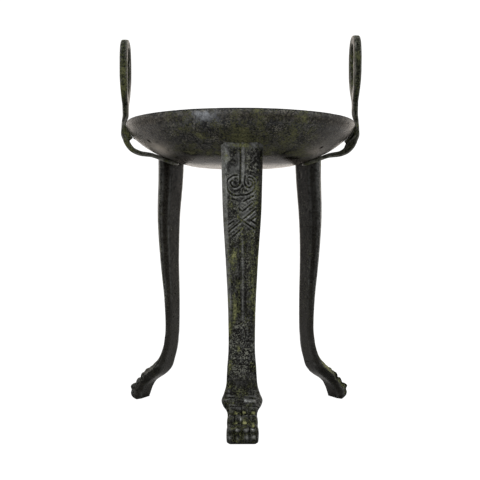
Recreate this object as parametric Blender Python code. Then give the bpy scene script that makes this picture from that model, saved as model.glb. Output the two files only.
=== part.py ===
"""Bronze tripod dish with lion's-paw legs and two upright loop handles.

Units are metres, +Z is up and the feet stand on Z = 0. The front leg points
along -Y and the handles stand at -X and +X. The origin is the middle of the
footprint's box, so the dish's own axis stands a little behind it.

The dish is turned, the legs are lofted from stations that run down the shaft
and round the paw, and each handle is a teardrop ring joined to one long strap
that bends under the rim and lies along the underside of the dish.
"""

import math

import bmesh
import bpy
from mathutils import Vector

# Dish
RIM_RADIUS = 0.150
RIM_HEIGHT = 0.3776
BOWL_DEPTH = 0.0556
BOWL_WALL = 0.0040
BOWL_SEGMENTS = 60

# Gap that neighbouring castings keep
CLEARANCE = 0.0003

# Legs: size of the shaft where it meets the dish, and how far in from the rim it stands
LEG_INSET = 0.0325
LEG_WIDTH = 0.0485
LEG_DEPTH = 0.0186
LEG_SPACING = 120.0

# Carving on the front of each leg
RIB_WIDTH = 0.0048
RIB_RISE = 0.0010
FLUTE_DEPTH = 0.0007
GROOVE_WIDTH = 0.0022
GROOVE_DEPTH = 0.0012
TOE_GROOVE_DEPTH = 0.0024

# Handles. The stem runs from the rim up to the ring, and the right one is a little taller.
LEFT_STEM = 0.0176
RIGHT_STEM = 0.0249
RING_HEIGHT = 0.0910
RING_WIDTH = 0.0496
RING_BAR = 0.0109
RING_FOOT = 0.0164
RING_DEPTH = 0.0095
RING_FOOT_DEPTH = 0.0070
STRAP_THICKNESS = 0.0058
STRAP_WIDTH = 0.0092
LUG_WIDTH = 0.0064
TAIL_GAP = 0.00045

# Underside of the dish, from the middle out: share of the rim's radius, share of the depth
UNDERSIDE = (
    (0.00, 1.000),
    (0.18, 1.000),
    (0.37, 0.978),
    (0.56, 0.895),
    (0.72, 0.735),
    (0.84, 0.545),
    (0.94, 0.315),
    (0.990, 0.090),
)
UNDERSIDE_STEPS = 2
LIP_STEPS = 4

# Shaft of a leg, top to ankle. Height and lean are shares of the leg's height,
# depth and width are shares of their values where the leg meets the dish.
SHAFT = (
    (1.030, -0.001, 1.02, 1.025),
    (0.907, 0.000, 1.00, 0.996),
    (0.749, 0.0067, 0.88, 0.922),
    (0.589, 0.0006, 0.747, 0.781),
    (0.429, -0.0143, 0.575, 0.670),
    (0.300, -0.0205, 0.430, 0.648),
    (0.236, -0.0135, 0.395, 0.700),
)
SHAFT_HEIGHTS = (
    1.030, 0.955, 0.885, 0.858, 0.842, 0.800, 0.745, 0.690, 0.672,
    0.630, 0.580, 0.520, 0.460, 0.400, 0.350, 0.300, 0.262,
)

# Ankle and paw. Each row is a slice through the foot: reach and height of its upper
# end, reach and height of its lower end, all shares of the leg's height measured from
# the shaft's front face at the top, then width as a share of the shaft's top width.
FOOT = (
    (-0.0137, 0.2319, -0.0347, 0.2290, 0.707),
    (-0.0032, 0.2013, -0.0289, 0.1984, 0.728),
    (0.0114, 0.1756, -0.0195, 0.1663, 0.755),
    (0.0335, 0.1532, -0.0073, 0.1356, 0.856),
    (0.0566, 0.1365, 0.0117, 0.1123, 0.979),
    (0.0773, 0.1214, 0.0321, 0.0968, 0.897),
    (0.0913, 0.1126, 0.0467, 0.0875, 0.773),
    (0.0977, 0.1030, 0.0583, 0.0796, 0.713),
    (0.0989, 0.0922, 0.0686, 0.0709, 0.697),
    (0.1117, 0.0887, 0.0779, 0.0607, 0.713),
    (0.1181, 0.0782, 0.0849, 0.0496, 0.726),
    (0.1234, 0.0665, 0.0907, 0.0391, 0.718),
    (0.1380, 0.0621, 0.0954, 0.0286, 0.742),
    (0.1456, 0.0525, 0.0995, 0.0187, 0.751),
    (0.1412, 0.0397, 0.1030, 0.0105, 0.751),
    (0.1450, 0.0245, 0.1059, 0.0041, 0.742),
    (0.1397, 0.0105, 0.1059, 0.0006, 0.722),
    (0.1254, 0.0000, 0.1076, 0.0000, 0.639),
)
# How much of the toe grooves each slice of the foot has
TOE_SHARE = (0, 0, 0, 0, 0, 0.2, 0.8, 1.0, 0.6, 1.0, 1.0, 0.6, 1.0, 1.0, 0.7, 0.8, 0.5, 0.0)

# Share of the width taken by the front face, also on the paw, and by the back
FACE_SHARE = 0.80
PAW_FACE_SHARE = 0.90
PAW_START = (0.3, 0.5)
BACK_SHARE = 0.62
# Places of the flutes, ridges and furrows as shares of half the front face
FLUTE_PLACE = 0.55
TOE_PLACES = (0.25, 0.50, 0.76)
# Depth beside the rib and at the outer toes, as shares of the flute and of the furrow
RIB_SIDE_SHARE = 0.30
OUTER_TOE_SHARE = 0.25
# Ends of the bevel and of the side, as shares of the depth
BEVEL_DEPTH_SHARE = 0.34
SIDE_DEPTH_SHARE = 0.58

# Heights of the ribs and of the carved bands, as shares of the leg's height
UPPER_RIB_END = 0.858
LOWER_RIB_START = 0.690
LOWER_RIB_FADE = 0.400
LOWER_RIB_END = 0.300
VOLUTE_HEIGHT = 0.862
CROSS_HEIGHT = 0.731
# Volutes: radius as a share of the leg's width, then eye and distance of the centre from
# the middle as shares of the radius, turns, angle at the eye and points of the route
VOLUTE_RADIUS = 0.180
VOLUTE_EYE = 0.28
VOLUTE_OFFSET = 1.02
VOLUTE_TURNS = 1.35
VOLUTE_START = 36.0
VOLUTE_POINTS = 13
# Hanging curve: half width, start below the volutes and drop, shares of the leg's width
BASKET_HALF = 0.335
BASKET_START = 0.100
BASKET_DROP = 0.254
BASKET_POINTS = 9
# Crossed bands: half width and step as shares of the leg's width, slope in degrees
CROSS_HALF = 0.34
CROSS_STEP = 0.173
CROSS_SLOPE = 40.0
# Cuts of the crossed bands: side they lean to, steps up from the middle, start and end
# as shares of the half width
CROSS_CUTS = (
    (1, 0.0, -1.0, 0.95),
    (1, 1.0, 0.03, 0.68),
    (1, 1.0, -1.05, -0.62),
    (1, 2.1, 0.22, 0.92),
    (1, -1.0, -0.68, -0.12),
    (-1, 0.1, -0.27, 1.0),
    (-1, 1.1, -0.30, -0.02),
)
CHEVRON = (1.0, 0.60)

# Teardrop outline of a handle's ring and of its hole, foot to top: share of the height,
# share of half the width
TEARDROP = (
    (0.00, 0.00),
    (0.03, 0.18),
    (0.13, 0.50),
    (0.23, 0.75),
    (0.35, 0.93),
    (0.47, 1.00),
    (0.67, 1.00),
    (0.80, 0.92),
    (0.90, 0.76),
    (0.97, 0.45),
    (1.00, 0.00),
)
# Height up to which a ring thins towards its foot, as a share of the ring's height
RING_THINNING = 0.45
# Corner of a bar as a share of its smaller side
BAR_CHAMFER = 0.30
# Stem of the handle beside the rim: height above the rim as a share of the stem's,
# share of the strap's thickness
STEM = (
    (1.50, 1.17),
    (1.00, 1.17),
    (0.56, 1.00),
    (0.28, 0.86),
    (0.00, 0.80),
)
# Heights between which the stem moves out beside the rim, as shares of the stem's
STEM_SHIFT = (0.15, 1.0)
# Bend of the strap under the rim: share of the rim's radius, share of the dish's depth,
# share of the strap's thickness
BEND = (
    (1.0200, 0.137, 0.92),
    (1.0200, 0.263, 1.00),
    (1.0020, 0.367, 1.20),
    (0.9920, 0.439, 1.20),
    (0.9690, 0.543, 1.17),
    (0.9340, 0.635, 1.10),
    (0.8750, 0.703, 1.02),
    (0.8210, 0.725, 0.94),
    (0.7690, 0.748, 0.86),
)
# Tail: shares of the rim's radius, share of the strap's thickness, how much wider it is
# than the stem and where along the strap it widens
TAIL_RADII = (0.690, 0.615, 0.540)
TAIL_TAPER = 0.80
TAIL_WIDENING = 0.15
TAIL_WIDENING_SPAN = (0.3, 0.6)
# Lug that joins the strap to the dish: top and bottom as shares of the dish's depth,
# inner and outer ends as shares of the rim's radius
LUG_SPAN = (0.05, 0.37)
LUG_ENDS = (0.90, 1.005)

# Plain stand-in looks
BOWL_COLOUR = (0.055, 0.052, 0.040)
LEG_COLOUR = (0.045, 0.046, 0.036)
HANDLE_COLOUR = (0.042, 0.044, 0.036)
TOOL_COLOUR = (0.5, 0.5, 0.5)
ROUGHNESS = 0.55
METALLIC = 0.35
SMOOTH_ANGLE = 35.0

# Distance over which a slope is measured, as a share of the rim's radius
SLOPE_STEP = 0.01
TINY = 1e-6


def catmull(points, steps):
    """Points of a smooth curve through the given ones, `steps` to each span."""
    out = []
    for i in range(len(points) - 1):
        p1, p2 = Vector(points[i]), Vector(points[i + 1])
        p0 = Vector(points[i - 1]) if i else p1 + (p1 - p2)
        p3 = Vector(points[i + 2]) if i + 2 < len(points) else p2 + (p2 - p1)
        for k in range(steps):
            t = k / steps
            out.append(
                0.5 * (2 * p1 + (p2 - p0) * t
                       + (2 * p0 - 5 * p1 + 4 * p2 - p3) * t ** 2
                       + (3 * p1 - p0 - 3 * p2 + p3) * t ** 3)
            )
    out.append(Vector(points[-1]))
    return out


def reading(rows, key):
    """Row of values at `key`, smoothly between rows that are sorted by their first value."""
    rows = sorted(rows)
    key = min(max(key, rows[0][0]), rows[-1][0])
    i = max(k for k in range(len(rows) - 1) if rows[k][0] <= key + TINY)
    span = rows[i + 1][0] - rows[i][0]
    t = (key - rows[i][0]) / span

    def slope(k, column):
        low, high = max(k - 1, 0), min(k + 1, len(rows) - 1)
        return (rows[high][column] - rows[low][column]) / (rows[high][0] - rows[low][0])

    out = []
    for column in range(1, len(rows[0])):
        a, b = rows[i][column], rows[i + 1][column]
        sa, sb = slope(i, column) * span, slope(i + 1, column) * span
        out.append(
            (2 * t ** 3 - 3 * t ** 2 + 1) * a + (t ** 3 - 2 * t ** 2 + t) * sa
            + (3 * t ** 2 - 2 * t ** 3) * b + (t ** 3 - t ** 2) * sb
        )
    return out


def ramp(value, start, end):
    """0 at start, 1 at end, level outside."""
    return min(max((value - start) / (end - start), 0.0), 1.0)


def underside_curve(offset=0.0):
    """Underside of the dish as (radius, height) pairs, moved out by `offset`."""
    curve = catmull([(r * RIM_RADIUS, RIM_HEIGHT - d * BOWL_DEPTH) for r, d in UNDERSIDE],
                    UNDERSIDE_STEPS)
    moved = []
    for i, point in enumerate(curve):
        along = curve[min(i + 1, len(curve) - 1)] - curve[max(i - 1, 0)]
        out = Vector((along.y, -along.x)).normalized()
        if i == 0:
            out = Vector((0.0, -1.0))
        moved.append(point + out * offset)
    return moved


def underside_height(radius):
    """Height of the underside of the dish at a radius."""
    curve = underside_curve()
    for a, b in zip(curve, curve[1:]):
        if a.x <= radius <= b.x:
            return a.y + (b.y - a.y) * (radius - a.x) / (b.x - a.x)
    return RIM_HEIGHT


LEG_REACH = RIM_RADIUS - LEG_INSET
LEG_HEIGHT = underside_height(LEG_REACH)


def new_object(name, bm, material, parent):
    """Object with a cleaned-up mesh, its material and its parent."""
    bmesh.ops.recalc_face_normals(bm, faces=bm.faces[:])
    mesh = bpy.data.meshes.new(name)
    bm.to_mesh(mesh)
    bm.free()
    mesh.materials.append(material)
    mesh.shade_smooth()
    mesh.set_sharp_from_angle(angle=math.radians(SMOOTH_ANGLE))
    obj = bpy.data.objects.new(name, mesh)
    bpy.context.scene.collection.objects.link(obj)
    obj.parent = parent
    return obj


def copy_object(name, source, material, angle):
    """Another casting of the same mould, turned about the dish's axis."""
    mesh = source.data.copy()
    mesh.materials.clear()
    mesh.materials.append(material)
    obj = bpy.data.objects.new(name, mesh)
    bpy.context.scene.collection.objects.link(obj)
    obj.parent = source.parent
    obj.rotation_euler.z = angle
    return obj


def bronze(name, colour):
    """Dark patinated bronze."""
    material = bpy.data.materials.new(name)
    material.use_nodes = True
    shader = material.node_tree.nodes["Principled BSDF"]
    shader.inputs["Base Color"].default_value = (*colour, 1.0)
    shader.inputs["Roughness"].default_value = ROUGHNESS
    shader.inputs["Metallic"].default_value = METALLIC
    return material


def as_tool(obj):
    """Mark an object as a cutter that isn't part of the vessel."""
    obj.hide_render = True
    obj.display_type = "WIRE"
    return obj


def cut(obj, tool, name, operation="DIFFERENCE"):
    """Cut a tool's shape out of an object, or join it."""
    modifier = obj.modifiers.new(name, "BOOLEAN")
    modifier.operation = operation
    modifier.solver = "EXACT"
    modifier.object = tool


def turned(profile, segments):
    """Closed solid of revolution from (radius, height) pairs whose ends lie on the axis."""
    bm = bmesh.new()
    rings = []
    for radius, height in profile:
        if radius < TINY:
            rings.append([bm.verts.new((0.0, 0.0, height))])
            continue
        ring = []
        for k in range(segments):
            angle = 2 * math.pi * k / segments
            ring.append(bm.verts.new((radius * math.cos(angle), radius * math.sin(angle), height)))
        rings.append(ring)
    for a, b in zip(rings, rings[1:]):
        for k in range(segments):
            n = (k + 1) % segments
            corners = [a[k % len(a)], a[n % len(a)], b[n % len(b)], b[k % len(b)]]
            bm.faces.new(list(dict.fromkeys(corners)))
    return bm


def lofted(rings, closed=False):
    """Skin over rings of points, capped at both ends unless it closes on itself."""
    bm = bmesh.new()
    loops = [[bm.verts.new(p) for p in ring] for ring in rings]
    pairs = list(zip(loops, loops[1:]))
    if closed:
        pairs.append((loops[-1], loops[0]))
    for a, b in pairs:
        for k in range(len(a)):
            n = (k + 1) % len(a)
            bm.faces.new((a[k], a[n], b[n], b[k]))
    if not closed:
        bm.faces.new(loops[0])
        bm.faces.new(loops[-1][::-1])
    return bm


def build_bowl(parent, material):
    """The dish: underside, rounded lip and the hollow inside, turned about its axis."""
    outer = underside_curve()
    inner = underside_curve(-BOWL_WALL)[::UNDERSIDE_STEPS]
    lip_outer, lip_inner = outer[-1], inner[-1]
    middle = (lip_outer + lip_inner) / 2
    lip = []
    for k in range(1, LIP_STEPS):
        angle = math.pi * k / LIP_STEPS
        across = (lip_outer.x - lip_inner.x) / 2
        rise = RIM_HEIGHT - middle.y
        lip.append((middle.x + across * math.cos(angle), middle.y + rise * math.sin(angle)))
    lip[0] = (RIM_RADIUS, lip[0][1])
    profile = [tuple(p) for p in outer] + lip + [tuple(p) for p in reversed(inner)]
    return new_object("bowl", turned(profile, BOWL_SEGMENTS), material, parent)


def build_seat_cutter(parent, material):
    """Shape of the dish with its gap, solid up past the rim, to cut the legs' tops."""
    curve = [tuple(p) for p in underside_curve(CLEARANCE)]
    side = RIM_RADIUS + CLEARANCE
    top = RIM_HEIGHT + BOWL_DEPTH
    profile = curve + [(side, curve[-1][1]), (side, top), (0.0, top)]
    return as_tool(new_object("seat_cutter", turned(profile, BOWL_SEGMENTS), material, parent))


def rib_amount(height):
    """How far the central rib stands out at a height on the shaft, from 0 to 1."""
    if height >= UPPER_RIB_END - TINY:
        return 1.0
    if height > LOWER_RIB_START - TINY:
        return 0.0
    return ramp(height, LOWER_RIB_END, LOWER_RIB_FADE)


def slice_ring(upper, lower, width, relief, face_places, shares):
    """Ring of points through a leg: face columns, bevel, side and back.

    upper and lower are the slice's ends as (reach, height), relief is how far each
    face column stands in, and shares gives the face's and the back's width.
    """
    face_share, back_share = shares
    upper, lower = Vector(upper), Vector(lower)
    across = lower - upper
    inward = across.normalized()
    right = []
    for place, depth in zip(face_places, relief):
        right.append((place * face_share * width / 2, upper + inward * depth))
    right.append((width / 2, upper + across * BEVEL_DEPTH_SHARE))
    right.append((width / 2, upper + across * SIDE_DEPTH_SHARE))
    right.append((back_share * width / 2, lower))
    points = [Vector((x, -p.x, p.y)) for x, p in right]
    mirrored = [Vector((-p.x, p.y, p.z)) for p in reversed(points[1:])]
    return points + mirrored


def shaft_ring(height):
    """Ring of the shaft at a height, with its rib and flutes."""
    lean, depth, width = reading(SHAFT, height)
    reach = LEG_REACH + lean * LEG_HEIGHT
    level = height * LEG_HEIGHT
    width *= LEG_WIDTH
    amount = rib_amount(height)
    rib = RIB_WIDTH / (FACE_SHARE * width)
    places = (0.0, rib, FLUTE_PLACE, 1.0)
    flute = FLUTE_DEPTH * amount
    relief = (-RIB_RISE * amount, RIB_SIDE_SHARE * flute, flute, 0.0)
    return slice_ring((reach, level), (reach - depth * LEG_DEPTH, level), width,
                      relief, places, (FACE_SHARE, BACK_SHARE))


def foot_ring(index):
    """Ring of one slice of the ankle and paw, with the furrows between four toes."""
    r_up, z_up, r_low, z_low, width = FOOT[index]
    toes = TOE_SHARE[index]
    along = index / (len(FOOT) - 1)
    upper = (LEG_REACH + r_up * LEG_HEIGHT, z_up * LEG_HEIGHT)
    lower = (LEG_REACH + r_low * LEG_HEIGHT, z_low * LEG_HEIGHT)
    face = FACE_SHARE + (PAW_FACE_SHARE - FACE_SHARE) * ramp(along, *PAW_START)
    furrow = TOE_GROOVE_DEPTH * toes
    relief = (furrow, 0.0, furrow, OUTER_TOE_SHARE * furrow)
    ridge, gap, outer = TOE_PLACES
    places = (0.0, ridge, gap, outer + (1 - outer) * (1 - toes))
    return slice_ring(upper, lower, width * LEG_WIDTH, relief, places, (face, BACK_SHARE))


def face_reach(height):
    """Reach of the shaft's front face at a height."""
    return LEG_REACH + reading(SHAFT, height / LEG_HEIGHT)[0] * LEG_HEIGHT


def groove(bm, route, width, depth):
    """Wedge along a route on the leg's front face, given as (across, height) pairs.

    It stands as far above the face as it goes in, so its top is twice as wide as the cut.
    """
    rings = []
    last = len(route) - 1
    for i, point in enumerate(route):
        point = Vector(point)
        along = (Vector(route[min(i + 1, last)]) - Vector(route[max(i - 1, 0)])).normalized()
        side = Vector((along.y, -along.x))
        reach = face_reach(point.y)
        edge_a, edge_b = point + side * width, point - side * width
        rings.append((
            Vector((edge_a.x, -(reach + depth), edge_a.y)),
            Vector((edge_b.x, -(reach + depth), edge_b.y)),
            Vector((point.x, -(reach - depth), point.y)),
        ))
    loops = [[bm.verts.new(p) for p in ring] for ring in rings]
    for a, b in zip(loops, loops[1:]):
        for k in range(3):
            n = (k + 1) % 3
            bm.faces.new((a[k], a[n], b[n], b[k]))
    bm.faces.new(loops[0])
    bm.faces.new(loops[-1][::-1])


def volute_route(side):
    """Spiral that opens from a volute's eye up to the rib; side is -1 or 1."""
    radius = VOLUTE_RADIUS * LEG_WIDTH
    centre = Vector((side * VOLUTE_OFFSET * radius, VOLUTE_HEIGHT * LEG_HEIGHT))
    route = []
    for k in range(VOLUTE_POINTS):
        t = k / (VOLUTE_POINTS - 1)
        angle = 2 * math.pi * VOLUTE_TURNS * t + math.radians(VOLUTE_START)
        size = radius * (VOLUTE_EYE + (1 - VOLUTE_EYE) * t)
        route.append((centre.x - side * size * math.cos(angle), centre.y + size * math.sin(angle)))
    return route


def basket_route():
    """Hanging curve below the two volutes."""
    half = BASKET_HALF * LEG_WIDTH
    start = VOLUTE_HEIGHT * LEG_HEIGHT - BASKET_START * LEG_WIDTH
    route = []
    for k in range(BASKET_POINTS):
        angle = math.pi * k / (BASKET_POINTS - 1)
        drop = BASKET_DROP * LEG_WIDTH * math.sin(angle)
        route.append((-half * math.cos(angle), start - drop))
    return route


def cross_routes(direction):
    """Parallel cuts of the crossed bands that lean one way; direction is -1 or 1."""
    half = CROSS_HALF * LEG_WIDTH
    slope = direction * math.tan(math.radians(CROSS_SLOPE))
    routes = []
    for lean, steps, start, end in CROSS_CUTS:
        if lean == direction:
            middle = CROSS_HEIGHT * LEG_HEIGHT + steps * CROSS_STEP * LEG_WIDTH
            routes.append([(half * share, middle + slope * half * share) for share in (start, end)])
    if direction < 0:
        wide, tip = (share * half for share in CHEVRON)
        middle = CROSS_HEIGHT * LEG_HEIGHT
        rise = -slope * (wide - tip)
        routes.append([(wide, middle + rise), (tip, middle), (wide, middle - rise)])
    return routes


def build_carving(parent, material):
    """Cutters for the carved front of a leg, in sets that don't cross each other."""
    volutes = bmesh.new()
    for side in (-1, 1):
        groove(volutes, volute_route(side), GROOVE_WIDTH, GROOVE_DEPTH)
    basket = bmesh.new()
    groove(basket, basket_route(), GROOVE_WIDTH, GROOVE_DEPTH)
    rising, falling = bmesh.new(), bmesh.new()
    for bm, direction in ((rising, 1), (falling, -1)):
        for route in cross_routes(direction):
            groove(bm, route, GROOVE_WIDTH, GROOVE_DEPTH)
    tools = []
    for name, bm in (("volute_cutter", volutes), ("basket_cutter", basket),
                     ("rising_cutter", rising), ("falling_cutter", falling)):
        tools.append(as_tool(new_object(name, bm, material, parent)))
    return tools


def build_leg(name, parent, material):
    """One leg: shaft, ankle and paw in one skin, before it is cut to the dish."""
    rings = [shaft_ring(h) for h in SHAFT_HEIGHTS] + [foot_ring(i) for i in range(len(FOOT))]
    return new_object(name, lofted(rings), material, parent)


def bar_ring(centre, across, normal, width, thickness):
    """Eight-cornered ring of a bar: width runs across, thickness along the normal."""
    chamfer = BAR_CHAMFER * min(width, thickness)
    w, t = width / 2, thickness / 2
    corners = (
        (w, t - chamfer), (w - chamfer, t), (chamfer - w, t), (-w, t - chamfer),
        (-w, chamfer - t), (chamfer - w, -t), (w - chamfer, -t), (w, chamfer - t),
    )
    return [centre + across * a + normal * b for a, b in corners]


def teardrop(top, height, width):
    """Teardrop outline as (across, height) pairs, once round from its foot."""
    side = catmull([(u * width / 2, top - height * (1 - v)) for v, u in TEARDROP], 2)
    return side + [Vector((-p.x, p.y)) for p in reversed(side[1:-1])]


def build_ring(name, stem, parent, material):
    """Teardrop ring of a handle at +X, between its outline and its hole."""
    foot = RIM_HEIGHT + stem
    top = foot + RING_HEIGHT
    outline = teardrop(top, RING_HEIGHT, RING_WIDTH)
    hole = teardrop(top - RING_BAR, RING_HEIGHT - RING_BAR - RING_FOOT, RING_WIDTH - 2 * RING_BAR)
    rings = []
    for outside, inside in zip(outline, hole):
        across = (outside - inside).normalized()
        middle = (outside + inside) / 2
        share = ramp(middle.y, foot + RING_THINNING * RING_HEIGHT, foot)
        depth = RING_DEPTH + (RING_FOOT_DEPTH - RING_DEPTH) * share
        centre = Vector((RIM_RADIUS + CLEARANCE, middle.x, middle.y))
        rings.append(bar_ring(centre, Vector((1.0, 0.0, 0.0)), Vector((0.0, across.x, across.y)),
                              depth, (outside - inside).length))
    return new_object(name, lofted(rings, closed=True), material, parent)


def strap_route(stem):
    """Strap as (radius, height, thickness) rows, from the ring to the tail's end."""
    rows = []
    for up, thick in STEM:
        thickness = thick * STRAP_THICKNESS
        beside_rim = 1 - ramp(up, *STEM_SHIFT)
        rows.append((RIM_RADIUS + CLEARANCE + beside_rim * thickness / 2,
                     RIM_HEIGHT + up * stem, thickness))
    for share, down, thick in BEND:
        rows.append((share * RIM_RADIUS, RIM_HEIGHT - down * BOWL_DEPTH, thick * STRAP_THICKNESS))
    thickness = TAIL_TAPER * STRAP_THICKNESS
    drop = TAIL_GAP + thickness / 2
    step = SLOPE_STEP * RIM_RADIUS
    for share in TAIL_RADII:
        radius = share * RIM_RADIUS
        slope = (underside_height(radius + step) - underside_height(radius - step)) / (2 * step)
        out = Vector((slope, -1.0)).normalized()
        rows.append((radius + out.x * drop, underside_height(radius) + out.y * drop, thickness))
    return catmull(rows, 2)


def build_strap(name, stem, parent, material):
    """Stem, bend and tail of a handle at +X, in one bar."""
    route = strap_route(stem)
    last = len(route) - 1
    rings = []
    for i, point in enumerate(route):
        along = (route[min(i + 1, last)] - route[max(i - 1, 0)]).xy.normalized()
        normal = Vector((-along.y, 0.0, along.x))
        width = STRAP_WIDTH * (1 + TAIL_WIDENING * ramp(i / last, *TAIL_WIDENING_SPAN))
        centre = Vector((point.x, 0.0, point.y))
        rings.append(bar_ring(centre, Vector((0.0, 1.0, 0.0)), normal, width, point.z))
    return as_tool(new_object(name, lofted(rings), material, parent))


def build_lug(name, parent, material):
    """Small block between the strap and the dish's flank."""
    top, bottom = (RIM_HEIGHT - share * BOWL_DEPTH for share in LUG_SPAN)
    near, far = (share * RIM_RADIUS for share in LUG_ENDS)
    size = Vector((far - near, LUG_WIDTH, top - bottom))
    middle = Vector(((far + near) / 2, 0.0, (top + bottom) / 2))
    bm = bmesh.new()
    bmesh.ops.create_cube(bm, size=1.0)
    for vertex in bm.verts:
        vertex.co = middle + vertex.co * size
    return as_tool(new_object(name, bm, material, parent))


def build_handle(name, stem, angle, parent, seat):
    """One handle: ring, strap and lug in one piece, turned about the dish's axis."""
    material = bronze(name + "_bronze", HANDLE_COLOUR)
    ring = build_ring(name, stem, parent, material)
    strap = build_strap(name + "_strap_tool", stem, parent, material)
    lug = build_lug(name + "_lug_tool", parent, material)
    for piece in (ring, strap, lug):
        piece.rotation_euler.z = angle
    cut(lug, seat, "seat")
    cut(strap, lug, "lug", "UNION")
    cut(ring, strap, "strap", "UNION")
    return ring


def build_legs(parent, seat, tool_material):
    """The three legs from one mould, each cut to the dish and carved."""
    carving = build_carving(parent, tool_material)
    front = build_leg("leg_front", parent, bronze("leg_front_bronze", LEG_COLOUR))
    legs = [(front, 0.0)]
    turn = math.radians(LEG_SPACING)
    for name, angle in (("leg_left", -turn), ("leg_right", turn)):
        leg = copy_object(name, front, bronze(name + "_bronze", LEG_COLOUR), angle)
        legs.append((leg, angle))
    for leg, angle in legs:
        cut(leg, seat, "seat")
        for tool in carving:
            if angle:
                tool = as_tool(copy_object(tool.name + "_" + leg.name, tool, tool_material, angle))
            cut(leg, tool, tool.name)
    return front


def main():
    """Build the vessel."""
    for obj in list(bpy.data.objects):
        bpy.data.objects.remove(obj, do_unlink=True)

    axis = bpy.data.objects.new("vessel_axis", None)
    bpy.context.scene.collection.objects.link(axis)

    tool_material = bronze("tool", TOOL_COLOUR)
    build_bowl(axis, bronze("bowl_bronze", BOWL_COLOUR))
    seat = build_seat_cutter(axis, tool_material)
    front = build_legs(axis, seat, tool_material)
    build_handle("handle_right", RIGHT_STEM, 0.0, axis, seat)
    build_handle("handle_left", LEFT_STEM, math.pi, axis, seat)

    toe_reach = max(-vertex.co.y for vertex in front.data.vertices)
    axis.location.y = (toe_reach - RIM_RADIUS) / 2


main()
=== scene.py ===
"""Looks of the bronze tripod dish: cast skin, carving, lion's paws, loop handles and patina.

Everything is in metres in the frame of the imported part: +Z is up, the feet stand on
Z = 0, the front leg points along -Y and the handles stand at -X and +X.
"""

import logging
import math
from dataclasses import dataclass, field
from enum import Enum

import bmesh
import bpy
import numpy as np
from mathutils import Matrix, Vector


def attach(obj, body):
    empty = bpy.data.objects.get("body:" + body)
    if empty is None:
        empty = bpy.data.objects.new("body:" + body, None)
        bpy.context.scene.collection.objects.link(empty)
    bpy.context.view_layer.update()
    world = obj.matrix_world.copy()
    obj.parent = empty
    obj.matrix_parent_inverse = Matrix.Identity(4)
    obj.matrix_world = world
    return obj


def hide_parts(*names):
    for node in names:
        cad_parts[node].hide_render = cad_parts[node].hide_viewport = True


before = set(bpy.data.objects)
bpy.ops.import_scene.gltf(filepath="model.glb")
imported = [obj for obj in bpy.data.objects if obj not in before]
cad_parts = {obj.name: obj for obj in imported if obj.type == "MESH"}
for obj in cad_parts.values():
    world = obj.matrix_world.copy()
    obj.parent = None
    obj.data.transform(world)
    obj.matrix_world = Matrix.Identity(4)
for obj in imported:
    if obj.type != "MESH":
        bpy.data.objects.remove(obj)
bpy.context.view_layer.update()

Array = np.ndarray
Rows = tuple[tuple[float, ...], ...]

MM = 0.001
AXIS_Y = 0.0086
# Directions of the three legs from the axis
LEG_DEGREES = (-90.0, 30.0, 150.0)
RIM_RADIUS = 0.150
RIM_HEIGHT = 0.3776
DISH_DEPTH = 0.0556
GAP = 0.0003

# Underside of the dish, from the middle out: share of the rim's radius, share of the depth
UNDERSIDE: Rows = (
    (0.00, 1.000), (0.18, 1.000), (0.37, 0.978), (0.56, 0.895),
    (0.72, 0.735), (0.84, 0.545), (0.94, 0.315), (0.990, 0.090),
)

log = logging.getLogger("tripod_dish")


class Slot(Enum):
    """Material slots of the part's record."""

    DISH = "dish_bronze"
    LEG = "leg_bronze"
    HANDLE = "handle_bronze"


class Side(Enum):
    """Side of the dish that a handle stands on; the value is the sign of X."""

    LEFT = -1
    RIGHT = 1


def ease(value: Array, start: float, end: float) -> Array:
    """Smooth step from 0 at start to 1 at end, level outside."""
    t = np.clip((value - start) / (end - start), 0.0, 1.0)
    return t * t * (3.0 - 2.0 * t)


def bump(value: Array, centre: float, spread: float) -> Array:
    """Bell of height 1 about a centre."""
    return np.exp(-(((value - centre) / spread) ** 2))


def spline(rows: Array, places: Array) -> Array:
    """Smooth curve through rows.

    Args:
        rows: One row of values per station.
        places: Stations to read at, where 0 is the first row and 1 the second.

    Returns:
        One row of values for each place.
    """
    last = len(rows) - 1
    padded = np.vstack([2 * rows[0] - rows[1], rows, 2 * rows[-1] - rows[-2]])
    index = np.clip(np.floor(places).astype(int), 0, last - 1)
    t = (places - index)[:, None]
    p0, p1, p2, p3 = (padded[index + k] for k in range(4))
    return 0.5 * (2 * p1 + (p2 - p0) * t + (2 * p0 - 5 * p1 + 4 * p2 - p3) * t ** 2
                  + (3 * p1 - p0 - 3 * p2 + p3) * t ** 3)


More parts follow.
